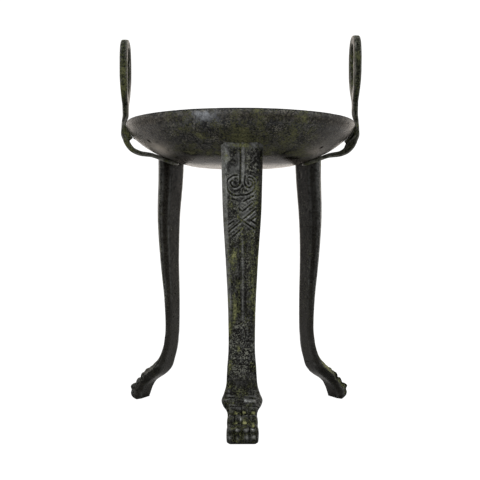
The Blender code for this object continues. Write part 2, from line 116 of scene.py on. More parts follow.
@dataclass(frozen=True)
class Noise:
    """Repeatable noise in space."""

    seed: int

    def corner(self, cell: Array) -> Array:
        """Value from -1 to 1 for each whole-number corner of the lattice."""
        x, y, z = (cell[..., k].astype(np.int64) for k in range(3))
        mixed = (x * 374761393 + y * 668265263 + z * 2147483647 + self.seed * 974634777)
        mixed = (mixed ^ (mixed >> 13)) * 1274126177
        mixed = (mixed ^ (mixed >> 16)) & 0xFFFFFF
        return mixed / 0x7FFFFF - 1.0

    def at(self, points: Array, size: float) -> Array:
        """Noise at points.

        Args:
            points: Places in metres, one per row.
            size: Size of the lumps in metres.

        Returns:
            Values from -1 to 1.
        """
        scaled = points / size + 64.0
        cell = np.floor(scaled)
        part = scaled - cell
        part = part * part * (3.0 - 2.0 * part)
        total = np.zeros(points.shape[:-1])
        for dx in (0, 1):
            for dy in (0, 1):
                for dz in (0, 1):
                    share = np.ones(points.shape[:-1])
                    for k, step in enumerate((dx, dy, dz)):
                        share = share * (part[..., k] if step else 1.0 - part[..., k])
                    total += share * self.corner(cell + np.array([dx, dy, dz]))
        return total

    def layered(self, points: Array, size: float, layers: int = 3) -> Array:
        """Noise with finer lumps laid over coarse ones."""
        total = np.zeros(points.shape[:-1])
        weight = 1.0
        for k in range(layers):
            total += weight * Noise(self.seed + 17 * k).at(points, size / 2 ** k)
            weight *= 0.5
        return total / (2.0 - weight * 2)


def underside_line(steps: int = 16) -> Array:
    """Underside of the dish as rows of radius and height."""
    rows = np.array([(r * RIM_RADIUS, RIM_HEIGHT - d * DISH_DEPTH) for r, d in UNDERSIDE])
    return spline(rows, np.linspace(0, len(rows) - 1, (len(rows) - 1) * steps + 1))


def underside_height(radius: Array) -> Array:
    """Height of the underside at each radius."""
    line = underside_line()
    return np.interp(radius, line[:, 0], line[:, 1])


def offset_line(line: Array, distance: float) -> Array:
    """Line of radius and height moved outwards by a distance."""
    along = np.gradient(line, axis=0)
    out = np.stack([along[:, 1], -along[:, 0]], axis=1)
    out /= np.linalg.norm(out, axis=1, keepdims=True)
    out[0] = (0.0, -1.0)
    return line + out * distance


def grid_normals(points: Array) -> Array:
    """Unit normals of a grid of points whose columns close on themselves.

    Args:
        points: Rows by columns by 3.

    Returns:
        Normals of the same shape.
    """
    down = np.gradient(points, axis=0)
    across = np.roll(points, -1, axis=1) - np.roll(points, 1, axis=1)
    normal = np.cross(across, down)
    length = np.linalg.norm(normal, axis=2, keepdims=True)
    return normal / np.maximum(length, 1e-12)


def tube_mesh(name: str, points: Array, close_rows: bool = False) -> bpy.types.Object:
    """Mesh skinned over a grid of points.

    Args:
        name: Name of the new object.
        points: Rows by columns by 3; the columns close on themselves.
        close_rows: Join the last row to the first instead of capping both.

    Returns:
        The object, linked to the scene.
    """
    rows, columns, _ = points.shape
    index = np.arange(rows * columns).reshape(rows, columns)
    if close_rows:
        index = np.vstack([index, index[:1]])
    after = np.roll(index, -1, axis=1)
    quads = np.stack([index[:-1], after[:-1], after[1:], index[1:]], axis=2).reshape(-1, 4)
    faces: list[list[int]] = quads.tolist()
    if not close_rows:
        faces.append(index[0].tolist()[::-1])
        faces.append(index[-1].tolist())
    mesh = bpy.data.meshes.new(name)
    mesh.from_pydata(points.reshape(-1, 3).tolist(), [], faces)
    return finish_mesh(name, mesh)


def finish_mesh(name: str, mesh: bpy.types.Mesh) -> bpy.types.Object:
    """Object of a mesh whose faces all look outwards and are smooth."""
    bm = bmesh.new()
    bm.from_mesh(mesh)
    bmesh.ops.triangulate(bm, faces=[f for f in bm.faces if len(f.verts) > 4])
    bmesh.ops.recalc_face_normals(bm, faces=bm.faces[:])
    bm.to_mesh(mesh)
    bm.free()
    mesh.shade_smooth()
    mesh.update()
    piece = bpy.data.objects.new(name, mesh)
    bpy.context.scene.collection.objects.link(piece)
    return piece


def places_of(mesh: bpy.types.Mesh) -> Array:
    """Vertex places of a mesh."""
    values = np.empty(len(mesh.vertices) * 3)
    mesh.vertices.foreach_get("co", values)
    return values.reshape(-1, 3)


def normals_of(mesh: bpy.types.Mesh) -> Array:
    """Vertex normals of a mesh."""
    values = np.empty(len(mesh.vertices) * 3)
    mesh.vertices.foreach_get("normal", values)
    return values.reshape(-1, 3)


def move_to(mesh: bpy.types.Mesh, places: Array) -> None:
    """Set the vertex places of a mesh."""
    mesh.vertices.foreach_set("co", places.reshape(-1))
    mesh.update()


def averaged(mesh: bpy.types.Mesh, values: Array, rounds: int) -> Array:
    """Values smoothed over a mesh.

    Args:
        mesh: Mesh whose edges carry the smoothing.
        values: One row of values per vertex.
        rounds: How often each vertex takes the mean of its neighbours.

    Returns:
        The smoothed values.
    """
    edges = np.empty(len(mesh.edges) * 2, dtype=np.int64)
    mesh.edges.foreach_get("vertices", edges)
    a, b = edges.reshape(-1, 2).T
    count = len(mesh.vertices)
    degree = np.maximum(np.bincount(a, minlength=count) + np.bincount(b, minlength=count), 1)
    out = values.copy()
    for _ in range(rounds):
        total = np.empty_like(out)
        for k in range(out.shape[1]):
            total[:, k] = (np.bincount(a, weights=out[b, k], minlength=count)
                           + np.bincount(b, weights=out[a, k], minlength=count))
        out = 0.5 * out + 0.5 * total / degree[:, None]
    return out


def set_mask(mesh: bpy.types.Mesh, name: str, values: Array) -> None:
    """Store one number per vertex under a name."""
    layer = mesh.attributes.new(name, "FLOAT", "POINT")
    layer.data.foreach_set("value", np.clip(values, 0.0, 1.0).astype(np.float32))


def relief_masks(mesh: bpy.types.Mesh, rounds: int, depth: float) -> tuple[Array, Array]:
    """Find which places are hollow and which stand out.

    Args:
        mesh: Mesh to look at.
        rounds: Rounds of smoothing that the surface is compared with.
        depth: Height in metres at which a mask is full.

    Returns:
        The masks of the hollows and of the edges, one value per vertex.
    """
    places = places_of(mesh)
    stand = np.einsum("ij,ij->i", places - averaged(mesh, places, rounds), normals_of(mesh))
    stand = (stand - np.median(stand)) / depth
    return np.clip(-stand, 0.0, 1.0), np.clip(stand, 0.0, 1.0)


class Nodes:
    """Short way to add nodes to a tree and join them."""

    def __init__(self, tree: bpy.types.NodeTree) -> None:
        """Keep the tree."""
        self.tree = tree

    def add(self, kind: str, settings: dict | None = None, **inputs: object) -> bpy.types.Node:
        """Add a node.

        Args:
            kind: Type of the node.
            settings: Properties to set on it.
            **inputs: Values or sockets for its inputs, spaces in names as underscores.

        Returns:
            The node.
        """
        node = self.tree.nodes.new(kind)
        for key, value in (settings or {}).items():
            setattr(node, key, value)
        for key, value in inputs.items():
            self.put(node.inputs[key.replace("_", " ")], value)
        return node

    def put(self, socket: bpy.types.NodeSocket, value: object) -> None:
        """Join a socket to an input, or set its value."""
        if isinstance(value, bpy.types.NodeSocket):
            self.tree.links.new(value, socket)
        else:
            socket.default_value = value

    def math(self, operation: str, *values: object) -> bpy.types.NodeSocket:
        """Result of a sum on one to three values or sockets."""
        node = self.add("ShaderNodeMath", {"operation": operation})
        for socket, value in zip(node.inputs, values):
            self.put(socket, value)
        return node.outputs[0]

    def scaled(self, value: object, low: float, high: float, to_low: float = 0.0,
               to_high: float = 1.0) -> bpy.types.NodeSocket:
        """Value moved smoothly from one range to another."""
        node = self.add("ShaderNodeMapRange", {"interpolation_type": "SMOOTHSTEP"})
        for name, number in (("Value", value), ("From Min", low), ("From Max", high),
                             ("To Min", to_low), ("To Max", to_high)):
            self.put(node.inputs[name], number)
        return node.outputs[0]

    def blend(self, share: object, first: object, second: object) -> bpy.types.NodeSocket:
        """Colour between two colours."""
        node = self.add("ShaderNodeMix", {"data_type": "RGBA"})
        for socket, value in ((node.inputs[0], share), (node.inputs[6], first),
                              (node.inputs[7], second)):
            self.put(socket, value)
        return node.outputs[2]

    def attribute(self, name: str) -> bpy.types.NodeSocket:
        """Mask stored on the mesh."""
        return self.add("ShaderNodeAttribute", {"attribute_name": name}).outputs["Fac"]

    def place(self) -> bpy.types.NodeSocket:
        """Place in the object's own frame."""
        return self.add("ShaderNodeTexCoord").outputs["Object"]

    def noise(self, where: object, scale: object, detail: float, roughness: float,
              distortion: float = 0.0) -> bpy.types.NodeSocket:
        """Cloudy noise value."""
        node = self.add("ShaderNodeTexNoise", Vector=where, Scale=scale, Detail=detail,
                        Roughness=roughness, Distortion=distortion)
        return node.outputs[0]


def new_group(name: str, inputs: dict[str, float],
              outputs: tuple[str, ...]) -> tuple[bpy.types.NodeTree, Nodes, dict, bpy.types.Node]:
    """Empty shader node group with named number sockets.

    Args:
        name: Name of the group.
        inputs: Input names with their first values.
        outputs: Output names.

    Returns:
        The group, a helper for its nodes, its input sockets by name and its output node.
    """
    group = bpy.data.node_groups.new(name, "ShaderNodeTree")
    for key, value in inputs.items():
        socket = group.interface.new_socket(key, in_out="INPUT", socket_type="NodeSocketFloat")
        socket.default_value = value
    for key in outputs:
        group.interface.new_socket(key, in_out="OUTPUT", socket_type="NodeSocketFloat")
    nodes = Nodes(group)
    source = nodes.add("NodeGroupInput")
    sink = nodes.add("NodeGroupOutput")
    return group, nodes, {key: source.outputs[key] for key in inputs}, sink


def clouds_group() -> bpy.types.NodeTree:
    """Broad clouds that vary the patina's tone, and a fine mottling over them."""
    group, nodes, given, sink = new_group("patina_clouds", {"Scale": 30.0, "Contrast": 0.2},
                                          ("Mask", "Mottle"))
    where = nodes.place()
    broad = nodes.noise(where, given["Scale"], 3.0, 0.6, 0.3)
    middling = nodes.noise(where, nodes.math("MULTIPLY", given["Scale"], 5.0), 4.0, 0.65)
    mixed = nodes.math("ADD", nodes.math("MULTIPLY", broad, 0.55),
                       nodes.math("MULTIPLY", middling, 0.45))
    low = nodes.math("SUBTRACT", 0.5, given["Contrast"])
    high = nodes.math("ADD", 0.5, given["Contrast"])
    nodes.put(sink.inputs["Mask"], nodes.scaled(mixed, low, high))
    fine = nodes.noise(where, nodes.math("MULTIPLY", given["Scale"], 15.0), 3.0, 0.7)
    nodes.put(sink.inputs["Mottle"], nodes.scaled(fine, 0.43, 0.60))
    return group


def specks_group() -> bpy.types.NodeTree:
    """Clustered specks of green and ochre growth, thicker where the mesh says so."""
    group, nodes, given, sink = new_group(
        "growth_specks", {"Scale": 260.0, "Amount": 0.5, "Hollows": 0.3}, ("Mask", "Core"))
    where = nodes.place()
    clusters = nodes.noise(where, nodes.math("MULTIPLY", given["Scale"], 0.22), 3.0, 0.6, 0.4)
    grains = nodes.noise(where, given["Scale"], 5.0, 0.75, 0.2)
    growth = nodes.attribute("growth")
    hollow = nodes.attribute("hollow")
    push = nodes.math("MULTIPLY", nodes.math("MULTIPLY", growth, given["Amount"]), 0.36)
    nest = nodes.math("MULTIPLY", nodes.math("MULTIPLY", hollow, given["Hollows"]), 0.24)
    level = nodes.math("ADD", nodes.math("MULTIPLY", grains, 0.75),
                       nodes.math("MULTIPLY", clusters, 0.25))
    level = nodes.math("ADD", level, nodes.math("ADD", push, nest))
    nodes.put(sink.inputs["Mask"], nodes.scaled(level, 0.625, 0.715))
    nodes.put(sink.inputs["Core"], nodes.scaled(level, 0.71, 0.84))
    return group


def flecks_group() -> bpy.types.NodeTree:
    """Small pale mineral flecks, thicker in some clusters."""
    group, nodes, given, sink = new_group("pale_flecks", {"Scale": 600.0, "Amount": 0.5},
                                          ("Mask",))
    where = nodes.place()
    grains = nodes.noise(where, given["Scale"], 2.0, 0.6, 0.1)
    clusters = nodes.noise(where, nodes.math("MULTIPLY", given["Scale"], 0.12), 2.0, 0.6)
    level = nodes.math("ADD", grains, nodes.math("MULTIPLY", clusters, 0.5))
    level = nodes.math("ADD", level, nodes.math("MULTIPLY", given["Amount"], 0.12))
    nodes.put(sink.inputs["Mask"], nodes.scaled(level, 0.885, 0.965))
    return group


def wear_group() -> bpy.types.NodeTree:
    """Rubbed places and painted highlights: raised edges and the patches marked as worn."""
    group, nodes, given, sink = new_group(
        "wear_and_highlights", {"Scale": 120.0, "Edges": 0.8, "Patches": 0.8}, ("Mask",))
    where = nodes.place()
    breakup = nodes.scaled(nodes.noise(where, given["Scale"], 4.0, 0.7), 0.36, 0.62, 0.15, 1.0)
    edge = nodes.math("MULTIPLY", nodes.attribute("edge"), given["Edges"])
    patch = nodes.math("MULTIPLY", nodes.attribute("worn"), given["Patches"])
    rubbed = nodes.math("MULTIPLY", nodes.math("ADD", edge, patch), breakup)
    nodes.put(sink.inputs["Mask"], nodes.math("MINIMUM", rubbed, 1.0))
    return group


def skin_group() -> bpy.types.NodeTree:
    """Height of the cast skin, with grain and small pits, and where the pits are."""
    group, nodes, given, sink = new_group("cast_skin", {"Scale": 420.0, "Pits": 0.5},
                                          ("Height", "Pit"))
    where = nodes.place()
    grain = nodes.noise(where, given["Scale"], 4.0, 0.6)
    cells = nodes.add("ShaderNodeTexVoronoi", {"feature": "F1"}, Vector=where,
                      Scale=nodes.math("MULTIPLY", given["Scale"], 0.80), Randomness=1.0)
    chosen = nodes.scaled(nodes.noise(where, nodes.math("MULTIPLY", given["Scale"], 0.2),
                                      2.0, 0.5), 0.44, 0.56)
    pit = nodes.math("MULTIPLY", nodes.scaled(cells.outputs["Distance"], 0.0, 0.35, 1.0, 0.0),
                     chosen)
    nodes.put(sink.inputs["Height"], nodes.math(
        "SUBTRACT", nodes.math("MULTIPLY", grain, 0.6),
        nodes.math("MULTIPLY", pit, given["Pits"])))
    nodes.put(sink.inputs["Pit"], pit)
    return group


@dataclass(frozen=True)
class PatinaKit:
    """Node groups that every bronze finish shares."""

    clouds: bpy.types.NodeTree
    specks: bpy.types.NodeTree
    flecks: bpy.types.NodeTree
    wear: bpy.types.NodeTree
    skin: bpy.types.NodeTree

    @classmethod
    def build(cls) -> "PatinaKit":
        """Make the groups once."""
        return cls(clouds_group(), specks_group(), flecks_group(), wear_group(), skin_group())


Colour = tuple[float, float, float]


def paint(colour: Colour) -> tuple[float, float, float, float]:
    """Colour with full opacity."""
    return (*colour, 1.0)


@dataclass(frozen=True)
class Patina:
    """Finish of one kind of casting: colours in linear light and amounts of each effect."""

    name: str
    dark: Colour
    tone: Colour
    moss: Colour
    ochre: Colour
    fleck: Colour
    # Colour of rubbed places, also used for painted glints and highlight lines
    rubbed: Colour
    growth: float
    flecks: float
    hollows: float
    edges: float
    grain: float
    roughness: float
    gloss: float
    gaps: float
    shade: float
    smooth_dark: Colour
    smooth_tone: Colour
    # Pale colour that paints a reflection of the floor where the mesh marks it
    painted_reflection: Colour = (0.330, 0.290, 0.230)

    def material(self, kit: PatinaKit) -> bpy.types.Material:
        """Build the material.

        Args:
            kit: Shared node groups.

        Returns:
            The material.
        """
        material = bpy.data.materials.new(self.name)
        material.use_nodes = True
        tree = material.node_tree
        shader = tree.nodes["Principled BSDF"]
        nodes = Nodes(tree)

        clouds = nodes.add("ShaderNodeGroup", {"node_tree": kit.clouds}, Scale=26.0,
                           Contrast=0.16)
        specks = nodes.add("ShaderNodeGroup", {"node_tree": kit.specks}, Scale=480.0,
                           Amount=self.growth, Hollows=self.hollows)
        flecks = nodes.add("ShaderNodeGroup", {"node_tree": kit.flecks}, Scale=520.0,
                           Amount=self.flecks).outputs["Mask"]
        wear = nodes.add("ShaderNodeGroup", {"node_tree": kit.wear}, Scale=150.0,
                         Edges=self.edges, Patches=0.9).outputs["Mask"]
        skin = nodes.add("ShaderNodeGroup", {"node_tree": kit.skin}, Scale=430.0, Pits=0.7)
        smooth = nodes.attribute("smooth")
        hollow = nodes.attribute("hollow")
        grown = specks.outputs["Mask"]

        tone = nodes.math("ADD", nodes.math("MULTIPLY", clouds.outputs["Mask"], 0.35),
                          nodes.math("MULTIPLY", clouds.outputs["Mottle"], 0.65))
        tone = nodes.scaled(tone, self.gaps, 1.0)
        base = nodes.blend(tone, paint(self.dark), paint(self.tone))
        # Smooth tones: on the legs they paint shade on faces turned away, on the handles a
        # reflection
        smooth_tone = nodes.blend(tone, paint(self.smooth_dark), paint(self.smooth_tone))
        base = nodes.blend(flecks, base, paint(self.fleck))
        base = nodes.blend(smooth, base, smooth_tone)
        # Painted reflection: pale colour laid where the mesh marks a reflection of the floor
        base = nodes.blend(nodes.attribute("painted_reflection"), base, paint(self.painted_reflection))
        # Rubbed colour where the wear mask says, which also paints the glint and highlight lines
        base = nodes.blend(wear, base, paint(self.rubbed))
        base = nodes.blend(grown, base, paint(self.moss))
        base = nodes.blend(specks.outputs["Core"], base, paint(self.ochre))
        shade = nodes.math("MAXIMUM", nodes.math("MULTIPLY", hollow, self.shade),
                           nodes.math("MULTIPLY", skin.outputs["Pit"], 0.8))
        shade = nodes.math("MULTIPLY", shade, nodes.math("SUBTRACT", 1.0, nodes.math(
            "MULTIPLY", grown, 0.7)))
        base = nodes.blend(shade, base, paint((0.004, 0.004, 0.003)))
        nodes.put(shader.inputs["Base Color"], base)
        matt = nodes.math("MULTIPLY", nodes.scaled(shade, 0.0, 0.9, self.gloss, 0.0),
                          nodes.scaled(nodes.math("MAXIMUM", tone, smooth), 0.0, 1.0, 0.4, 1.0))
        nodes.put(shader.inputs["Specular IOR Level"], matt)

        rough = nodes.math("ADD", self.roughness, nodes.math(
            "MULTIPLY", clouds.outputs["Mottle"], 0.10))
        rough = nodes.math("ADD", rough, nodes.math("MULTIPLY", grown, 0.30))
        rough = nodes.math("SUBTRACT", rough, nodes.math("MULTIPLY", wear, 0.14))
        rough = nodes.math("SUBTRACT", rough, nodes.math("MULTIPLY", smooth, 0.26))
        nodes.put(shader.inputs["Roughness"], rough)
        metal = nodes.scaled(nodes.math("SUBTRACT", wear, grown), 0.1, 1.0, 0.0, 0.5)
        nodes.put(shader.inputs["Metallic"], metal)

        height = nodes.math("ADD", nodes.math("MULTIPLY", skin.outputs["Height"], self.grain),
                            nodes.math("MULTIPLY", grown, 0.35))
        relief = nodes.add("ShaderNodeBump", Distance=0.0012, Height=height, Strength=nodes.math(
            "SUBTRACT", 0.7, nodes.math("MULTIPLY", smooth, 0.55)))
        nodes.put(shader.inputs["Normal"], relief.outputs["Normal"])
        return material


# On the dish the rubbed colour is mostly the painted glint and sheen under the rim
DISH_FINISH = Patina(
    name="dish_patina", dark=(0.0015, 0.0015, 0.0012), tone=(0.062, 0.060, 0.050),
    moss=(0.094, 0.097, 0.046), ochre=(0.180, 0.178, 0.085), fleck=(0.165, 0.158, 0.126),
    rubbed=(0.420, 0.445, 0.480), growth=0.80, flecks=0.45, hollows=0.2, edges=0.08,
    grain=1.3, roughness=0.42, gloss=0.34, gaps=0.30, shade=0.95,
    smooth_dark=(0.036, 0.030, 0.023), smooth_tone=(0.125, 0.105, 0.082),
)
# On the legs the dark smooth tones paint shade on faces turned inwards and back
LEG_FINISH = Patina(
    name="leg_patina", dark=(0.0015, 0.0015, 0.0012), tone=(0.084, 0.087, 0.082),
    moss=(0.108, 0.116, 0.050), ochre=(0.300, 0.300, 0.130), fleck=(0.215, 0.220, 0.182),
    rubbed=(0.270, 0.276, 0.265), growth=0.78, flecks=0.50, hollows=0.3, edges=1.0,
    grain=1.3, roughness=0.42, gloss=0.36, gaps=0.35, shade=0.98,
    smooth_dark=(0.008, 0.0065, 0.004), smooth_tone=(0.019, 0.0155, 0.010),
)
# On the handles the pale smooth tones paint a reflection on faces turned to the dish
HANDLE_FINISH = Patina(
    name="handle_patina", dark=(0.002, 0.003, 0.001), tone=(0.038, 0.040, 0.021),
    moss=(0.068, 0.075, 0.030), ochre=(0.150, 0.148, 0.064), fleck=(0.100, 0.104, 0.070),
    rubbed=(0.220, 0.215, 0.195), growth=0.72, flecks=0.15, hollows=0.3, edges=0.80,
    grain=0.8, roughness=0.36, gloss=0.30, gaps=0.25, shade=0.9,
    smooth_dark=(0.045, 0.030, 0.016), smooth_tone=(0.125, 0.098, 0.064),
)


def dress(piece: bpy.types.Object, material: bpy.types.Material, node: str) -> None:
    """Give a piece its finish and put it in the place of a CAD node."""
    piece.data.materials.clear()
    piece.data.materials.append(material)
    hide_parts(node)
    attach(piece, "root")
    triangles = sum(len(face.vertices) - 2 for face in piece.data.polygons)
    log.info("%s stands for %s, %d triangles", piece.name, node, triangles)


@dataclass
class Dish:
    """Shallow round dish, turned about its axis, with a rounded lip."""

    wall: float = 0.0040
    segments: int = 480
    inner_step: int = 2
    lip_points: int = 12
    seed: int = 11
    # Slots in the flanks beside the lugs: direction in degrees and radius, and half their
    # size along the slope, across and deep
    slots: Rows = ((-153.3, 0.1281), (-31.8, 0.1166))
    slot_half: tuple[float, float, float] = (0.0023, 0.0022, 0.0030)
    # Rubbed patch under the rim that carries a painted glint and sheen: direction in degrees and
    # radius
    glint_patch: tuple[float, float] = (-107.5, 0.1485)
    # Small stub on the left flank: direction in degrees, radius, height and spread
    stub: tuple[float, float, float, float] = (-176.0, 0.1390, 0.0013, 0.0020)
    growth_seed: int = 5
    # Dark patches and patches of painted floor reflection on the flank: direction and half width in
    # degrees, radius and its spread in metres, strength
    dark_patches: Rows = (
        (-129.0, 10.0, 0.0990, 0.012, 1.1), (-57.0, 10.0, 0.0980, 0.012, 1.0),
        (-44.0, 13.0, 0.0865, 0.007, 1.3),
    )
    floor_reflections: Rows = (
        (-155.0, 11.0, 0.1140, 0.012, 1.0), (-32.0, 11.0, 0.1080, 0.010, 0.40),
    )
    # How far the bottom hangs lower than the part's, and the radii where that fades out
    sag: tuple[float, float, float] = (0.0020, 0.062, 0.092)

    def profile(self) -> Array:
        """Section of the dish as rows of radius and height, from the middle outside."""
        outer = underside_line(10)
        inner = offset_line(underside_line(10), -self.wall)[::self.inner_step]
        start, end = outer[-1], inner[-1]
        angles = np.linspace(0, math.pi, self.lip_points + 2)[1:-1]
        middle = (start + end) / 2
        lip = np.stack([
            middle[0] + (start[0] - end[0]) / 2 * np.cos(angles),
            middle[1] + (RIM_HEIGHT - middle[1]) * np.sin(angles),
        ], axis=1)
        return np.vstack([outer[1:], lip, inner[::-1][:-1]])

    def shape(self) -> bpy.types.Object:
        """Turned solid with uneven cast faces."""
        profile = self.profile()
        depth, level_out, edge_out = self.sag
        profile[:, 1] -= depth * (1.0 - ease(profile[:, 0], level_out, edge_out))
        turn = np.linspace(0, 2 * math.pi, self.segments, endpoint=False)
        radius = profile[:, 0][:, None]
        points = np.stack([
            radius * np.cos(turn), radius * np.sin(turn) + AXIS_Y,
            np.repeat(profile[:, 1][:, None], self.segments, axis=1),
        ], axis=2)
        normal = grid_normals(points)
        noise = Noise(self.seed)
        uneven = 0.16 * noise.layered(points, 0.035, 2) + 0.09 * noise.layered(points, 0.008, 3)
        pits = np.maximum(noise.at(points, 0.0045) - 0.55, 0.0) * 0.5
        fade = ease(profile[:, 0], 0.004, 0.02)[:, None]
        outer_rows = (np.arange(len(profile)) < len(profile) // 2)[:, None]
        away = np.degrees(turn) - (self.glint_patch[0] + 360.0)
        dent = 0.12 * bump(away, 0.0, 6.0)[None, :] * ease(profile[:, 1], 0.3700, 0.3766)[:, None]
        turned = math.radians(self.stub[0])
        stub = np.exp(-((points[..., 0] - self.stub[1] * math.cos(turned)) ** 2
                        + (points[..., 1] - AXIS_Y - self.stub[1] * math.sin(turned)) ** 2)
                      / self.stub[3] ** 2) * self.stub[2] / MM
        uneven = uneven + (stub - dent) * outer_rows
        points = points + normal * ((uneven - pits) * fade * MM)[..., None]
        return tube_mesh("cast_dish", points)

    def cut_slots(self, piece: bpy.types.Object) -> None:
        """Cut the two small slots into the flanks, along the slope."""
        step = 0.002
        for k, (degrees, radius) in enumerate(self.slots):
            turn = math.radians(degrees)
            outward = Vector((math.cos(turn), math.sin(turn), 0.0))
            low, level, high = underside_height(np.array([radius - step, radius, radius + step]))
            along = (outward * 2 * step + Vector((0.0, 0.0, high - low))).normalized()
            across = Vector((-outward.y, outward.x, 0.0))
            normal = along.cross(across)
            middle = outward * radius + Vector((0.0, AXIS_Y, level))
            bm = bmesh.new()
            bmesh.ops.create_icosphere(bm, subdivisions=2, radius=1.0)
            for vertex in bm.verts:
                x, y, z = vertex.co
                vertex.co = (middle + along * (x * self.slot_half[0])
                             + across * (y * self.slot_half[1]) + normal * (z * self.slot_half[2]))
            mesh = bpy.data.meshes.new("slot_cutter")
            bm.to_mesh(mesh)
            bm.free()
            cutter = bpy.data.objects.new("slot_cutter", mesh)
            bpy.context.scene.collection.objects.link(cutter)
            modifier = piece.modifiers.new("slot_%d" % k, "BOOLEAN")
            modifier.operation = "DIFFERENCE"
            modifier.solver = "EXACT"
            modifier.object = cutter
            apply_modifiers(piece)
            bpy.data.objects.remove(cutter)

    def mark(self, piece: bpy.types.Object) -> None:
        """Store where the dish is hollow, raised, overgrown, rubbed, smooth and painted with shade,
        a glint and reflections.
        """
        mesh = piece.data
        places = places_of(mesh)
        hollow, edge = relief_masks(mesh, 6, 0.00006)
        x, y, z = places[:, 0], places[:, 1] - AXIS_Y, places[:, 2]
        radius = np.hypot(x, y)
        turn = np.degrees(np.arctan2(y, x))
        noise = Noise(self.growth_seed)
        patches = noise.layered(places, 0.040, 3)
        spots = noise.layered(places, 0.010, 3)
        sides = ease(np.abs(x) + 0.014 * patches + 0.012 * spots, 0.066, 0.128)
        outside = ease(radius, 0.080, 0.096)
        under = ease(-normals_of(mesh)[:, 2], -0.25, 0.15)
        below = 1.0 - ease(z, RIM_HEIGHT - 0.0016, RIM_HEIGHT - 0.0006)
        growth = 0.38 + 0.38 * patches + 0.38 * spots + 0.16 * bump(x, 0.022, 0.045)
        growth = growth * (1.0 - 0.80 * sides) * outside
        # Mask of painted shade and dark patches, starting with a darker band round the lower flank
        shade_and_dark_patches = bump(radius, 0.092, 0.008) * (0.35 + 0.9 * spots)
        painted_reflection = np.zeros(len(places))
        for rows, mask in ((self.dark_patches, shade_and_dark_patches), (self.floor_reflections, painted_reflection)):
            for degrees, wide, middle, spread, strength in rows:
                away = np.abs((turn - degrees + 180.0) % 360.0 - 180.0)
                blot = strength * bump(away, 0.0, wide) * bump(radius, middle, spread)
                np.maximum(mask, blot * (1.0 + 0.5 * spots), out=mask)
        # Painted contact shadow on the dish round the top of each leg
        for degrees in LEG_DEGREES:
            away = np.abs((turn - degrees + 180.0) % 360.0 - 180.0)
            seat = bump(away, 0.0, 9.0) * bump(radius, 0.128, 0.010)
            shade_and_dark_patches = np.maximum(shade_and_dark_patches, seat * (0.75 + 0.6 * spots))
            growth = growth + 0.35 * seat
        # Painted glint and sheen under the rim, laid on in the rubbed colour
        away = np.abs((turn - self.glint_patch[0] + 180.0) % 360.0 - 180.0)
        patch = bump(away, 0.0, 4.6) * bump(radius, self.glint_patch[1] - 0.0012, 0.0030)
        sheen = bump(away, 0.0, 9.0) * bump(radius, self.glint_patch[1] - 0.002, 0.005)
        # Painted shade in and round each slot
        for degrees, slot_radius in self.slots:
            slot_turn = math.radians(degrees)
            apart = np.hypot(x - slot_radius * math.cos(slot_turn),
                             y - slot_radius * math.sin(slot_turn))
            shade_and_dark_patches = np.maximum(shade_and_dark_patches, 1.0 - ease(apart, 0.0020, 0.0034))
        # Stronger on faces that look down, as painted shade; a dark line of painted shade runs along
        # the lip's top
        shade_and_dark_patches = np.maximum(shade_and_dark_patches * (0.3 + 0.7 * under), 1.0 - below)
        set_mask(mesh, "hollow", np.maximum(0.6 * hollow, shade_and_dark_patches))
        set_mask(mesh, "edge", edge * below)
        set_mask(mesh, "growth", growth * (1.0 - 0.9 * patch) * below)
        set_mask(mesh, "worn", np.maximum(patch, 0.30 * sheen) * under * (
            1.0 + 0.3 * noise.at(places, 0.006)))
        set_mask(mesh, "painted_reflection", painted_reflection * under)
        band = 0.45 * bump(radius, 0.1475, 0.0035)
        smooth = np.maximum(np.maximum(0.72 * sides, band), 1.0 - outside)
        set_mask(mesh, "smooth", smooth * (0.35 + 0.65 * under) * (
            0.95 + 0.12 * noise.at(places, 0.03)))

    def build(self, finish: bpy.types.Material) -> bpy.types.Object:
        """Build and dress the dish."""
        piece = self.shape()
        self.cut_slots(piece)
        self.mark(piece)
        dress(piece, finish, "bowl")
        return piece


def apply_modifiers(piece: bpy.types.Object) -> None:
    """Replace a piece's mesh by what its modifiers make of it."""
    graph = bpy.context.evaluated_depsgraph_get()
    mesh = bpy.data.meshes.new_from_object(piece.evaluated_get(graph), depsgraph=graph)
    piece.modifiers.clear()
    old = piece.data
    piece.data = mesh
    bpy.data.meshes.remove(old)


